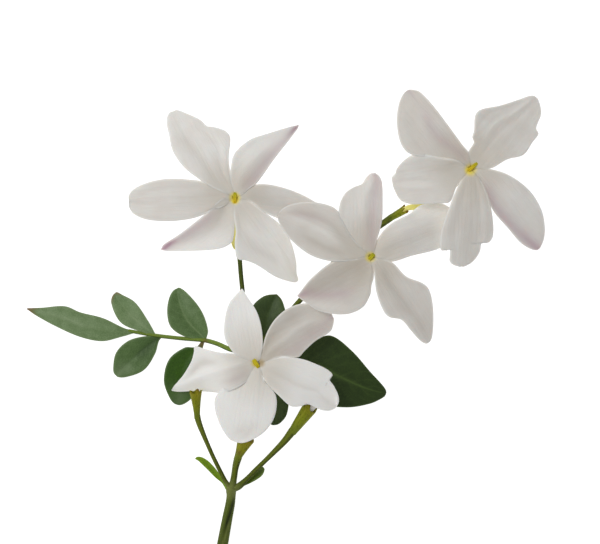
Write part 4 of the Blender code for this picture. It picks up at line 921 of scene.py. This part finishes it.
def make_calyx(key, shape, material):
    """A ribbed cup with slender teeth: one skin, up the outside and down the inside."""
    foot, mouth = np.array(shape["foot"]), np.array(shape["mouth"])
    length = norm(mouth - foot)
    axis = (mouth - foot) / length
    across, upward = sweep_frames(np.array([foot, mouth]))
    sides = TEETH * 16
    angle = 2 * math.pi * np.arange(sides) / sides
    spokes = across[0] * np.cos(angle)[:, None] + upward[0] * np.sin(angle)[:, None]
    turned = ((angle + math.radians(shape["turn"])) * TEETH / (2 * math.pi)) % TEETH
    phase = np.abs((turned % 1) * 2 - 1)
    tooth = np.array(shape["teeth"])[np.round(turned).astype(int) % TEETH]
    tooth = shape["tooth"] * tooth * smooth_step(0.1, 1, phase)
    rib = smooth_step(0.7, 1, phase)
    low, high = shape["radii"]
    rings, along = [], []

    def ring(height, radius, place):
        """Adds a ring of points, with a height, radius and place for each of them or for all."""
        heights, spread = height + 0 * angle, radius + 0 * angle
        rings.append(foot + axis * heights[:, None] + spokes * spread[:, None])
        along.append(place + 0 * angle)

    def width(share):
        return low + (high - low) * share ** shape["bell"]

    for level in range(-2, CALYX_LEVELS + 1):
        share = max(level / CALYX_LEVELS, 0)
        ring(length * share + 0.15 * min(level, 0), width(share) * (1 + 0.04 * rib), 0.55 * share)
    outside = [(share, 0) for share in (0.25, 0.5, 0.75, 1)]
    inside = [(share, CALYX_WALL) for share in (1, 0.5, 0)]
    for share, inset in outside + inside:
        flare = high * (1 + shape["splay"] * share * rib) - inset
        ring(length + tooth * share, flare, 0.55 + 0.45 * share * tooth / shape["tooth"])
    for share in (0.96, 0.9):
        ring(length * share, width(share) - CALYX_WALL, 0.5)
    points = np.concatenate(rings)
    along = np.array(along)
    spot = 0
    if shape["spot"]:
        *place, wide = shape["spot"]
        spot = np.exp(-((points[:, :2] - place) ** 2).sum(axis=1) / wide ** 2)
    grain = round_grain(along * (length + shape["tooth"]) / 0.9, angle, 5 * len(key))
    one = patch(points, round_faces(len(rings) - 1, sides), along=along.ravel(), grain=grain, spot=spot,
                rib=np.tile(rib, len(rings)), tone=shape["tone"])
    build("cup_" + key, [one], material, "calyx_" + key)


def make_bud(material):
    made = sweep_patch(smooth_points(BUD_ROUTE, BUD_STEPS), TUBE_SIDES, BUD_RIDGE, index=3)
    along = made["values"]["along"]
    made["values"].update(reach=5 + 8 * along, edge=2, stain=0.5 * smooth_step(0.4, 1, along))
    build("bud_tip", [made], material, "bud_right")


def make_stems(material):
    """The branches, with swollen joints and a fresh cut at the foot."""
    joints = np.array([NODE_LOWER, NODE_UPPER])
    rods = []
    for index, (tones, branch) in enumerate(STEM_BRANCHES):
        length = sum(math.dist(a[:3], b[:3]) for a, b in zip(branch, branch[1:]))
        route = smooth_points(branch, max(8, round(length / STEM_STEP)))
        rod = sweep_patch(route, STEM_SIDES, STEM_RIDGE, tones, index=index)
        rod["points"][:, 2] = np.maximum(rod["points"][:, 2], 0)
        near = np.min(norm(rod["points"][:, None] - joints[None], axis=2), axis=1)
        rod["values"]["swell"] = smooth_step(3.2, 1, near)
        # painted shade: the grooves are darker on the side away from the light
        away = np.cos(2 * math.pi * rod["values"]["across"] - SHADE_SIDE)
        rod["values"]["groove"] *= 0.35 + 0.65 * smooth_step(0.2, 0.9, away)
        rods.append(rod)
    stalk = rods[0]["values"]
    # painted shade along a furrow below the lower node, and a painted highlight streak beside it
    below = FURROW_TOP - rods[0]["points"][:, 1]
    aside = 360 * stalk["across"] - FURROW_ANGLE - FURROW_TURN * below
    furrow = np.exp(-(aside / FURROW_WIDTH) ** 2) * smooth_step(-0.5, 1.5, below)
    furrow *= 1 - 0.6 * smooth_step(6.5, 9, below)
    stalk["groove"] = stalk["groove"] * smooth_step(1.5, -0.5, below) + 1.5 * furrow
    streak = np.exp(-((aside + STREAK_ASIDE) / STREAK_WIDTH) ** 2) * smooth_step(5.5, 8, below)
    stalk["swell"] = np.maximum(stalk["swell"], 0.9 * streak)
    stalk["pith"] = 0.8 * (np.arange(len(below)) < STEM_SIDES)
    build("branches", rods, material, "stem")


def leaf_patch(shape, index, make):
    """A leaflet with its midrib and side veins."""
    made = blade_patch(shape, shape["foot"], (0, 0), index, **make)
    values = made["values"]
    t, v = values["along"], values["across"]
    values["rib"] = shape["rib"] * np.exp(-(v / (0.05 + 0.03 * (1 - t))) ** 2) * (1 - 0.6 * t)
    slant = (t - 0.3 * np.abs(v)) * 8
    values["vein"] = smooth_step(0.75, 1, np.abs(((slant + 0.15 * np.sign(v)) % 1) * 2 - 1))
    values["vein"] *= shape["veins"] * smooth_step(1, 0.75, np.abs(v)) * smooth_step(0.02, 0.12, t)
    values["joint"] = shape["stub"] * smooth_step(0.13, 0.05, t)
    return made


def make_leaf(key, leaf, material):
    rod = sweep_patch(smooth_points(leaf["rachis"], RACHIS_STEPS), STEM_SIDES, RACHIS_RIDGE, index=4)
    away = norm(rod["points"] - RACHIS_JOINT, axis=1)
    # under: painted shade on the rachis's underside, away from the light
    below = -np.sin(2 * math.pi * rod["values"]["across"] + 1.2)
    rod["values"].update(tone=0.6, edge=2, stalk=1, under=smooth_step(0.05, 0.6, below),
                         joint=0.8 * smooth_step(1, 0.4, away))
    leaflets = [leaf_patch(shape, index, LEAFLET) for index, shape in enumerate(leaf["leaflets"])]
    build("foliage_" + key, leaflets + [rod], material, "leaf_" + key)


def make_bract(key, shape, material):
    build("bractlet_" + key, [leaf_patch(shape, 2, BRACT)], material, "bract_" + key)


def make_floor():
    half = FLOOR_SIZE / 2 * MM
    mesh = bpy.data.meshes.new("floor")
    corners = [(x * half, y * half, 0) for x, y in ((-1, -1), (1, -1), (1, 1), (-1, 1))]
    mesh.from_pydata(corners, [], [(0, 1, 2, 3)])
    made = Shader("floor_paper", FLOOR_COLOUR, 0.9, 0)
    made.put("Emission Color", WHITE)
    made.put("Emission Strength", FLOOR_GLOW)
    mesh.materials.append(made.material)
    floor = add_object("floor", mesh)


def make_light():
    sun = bpy.data.lights.new("key_light", "SUN")
    sun.energy = SUN_STRENGTH
    sun.angle = math.radians(SUN_SOFTNESS)
    lamp = add_object("key_light", sun)
    heading, elevation = math.radians(SUN_HEADING), math.radians(SUN_ELEVATION)
    level = math.cos(elevation)
    toward = Vector((math.cos(heading) * level, math.sin(heading) * level, math.sin(elevation)))
    lamp.rotation_mode = "QUATERNION"
    lamp.rotation_quaternion = toward.to_track_quat("Z", "Y")
    world = bpy.data.worlds.new("studio")
    world.use_nodes = True
    background = world.node_tree.nodes["Background"]
    background.inputs["Color"].default_value = WHITE
    background.inputs["Strength"].default_value = WORLD_STRENGTH
    bpy.context.scene.world = world
    bpy.context.scene.view_settings.view_transform = "Standard"


def make_camera():
    lens = bpy.data.cameras.new("camera")
    lens.sensor_width = SENSOR
    lens.lens = SENSOR * CAMERA_HEIGHT / VIEW_WIDTH
    lens.clip_end = 10
    camera = add_object("camera", lens)
    camera.location = (VIEW_CENTRE[0] * MM, VIEW_CENTRE[1] * MM, CAMERA_HEIGHT * MM)
    bpy.context.scene.camera = camera


def main():
    petal_skin = petal_material()
    anther_skin = anther_material()
    calyx_skin = calyx_material()
    bract_skin = leaf_material("bract_skin", *BRACT_COLOURS)
    make_stems(stem_material())
    for key, flower in FLOWERS.items():
        make_flower(key, flower, petal_skin)
        make_stamens(key, flower, anther_skin)
    for key, shape in CALYCES.items():
        make_calyx(key, shape, calyx_skin)
    make_bud(petal_skin)
    for key, leaf in LEAVES.items():
        make_leaf(key, leaf, leaf_material(f"leaf_{key}_skin", *leaf["colours"]))
    for key, shape in BRACTS.items():
        make_bract(key, shape, bract_skin)
    make_floor()
    make_light()
    make_camera()


main()
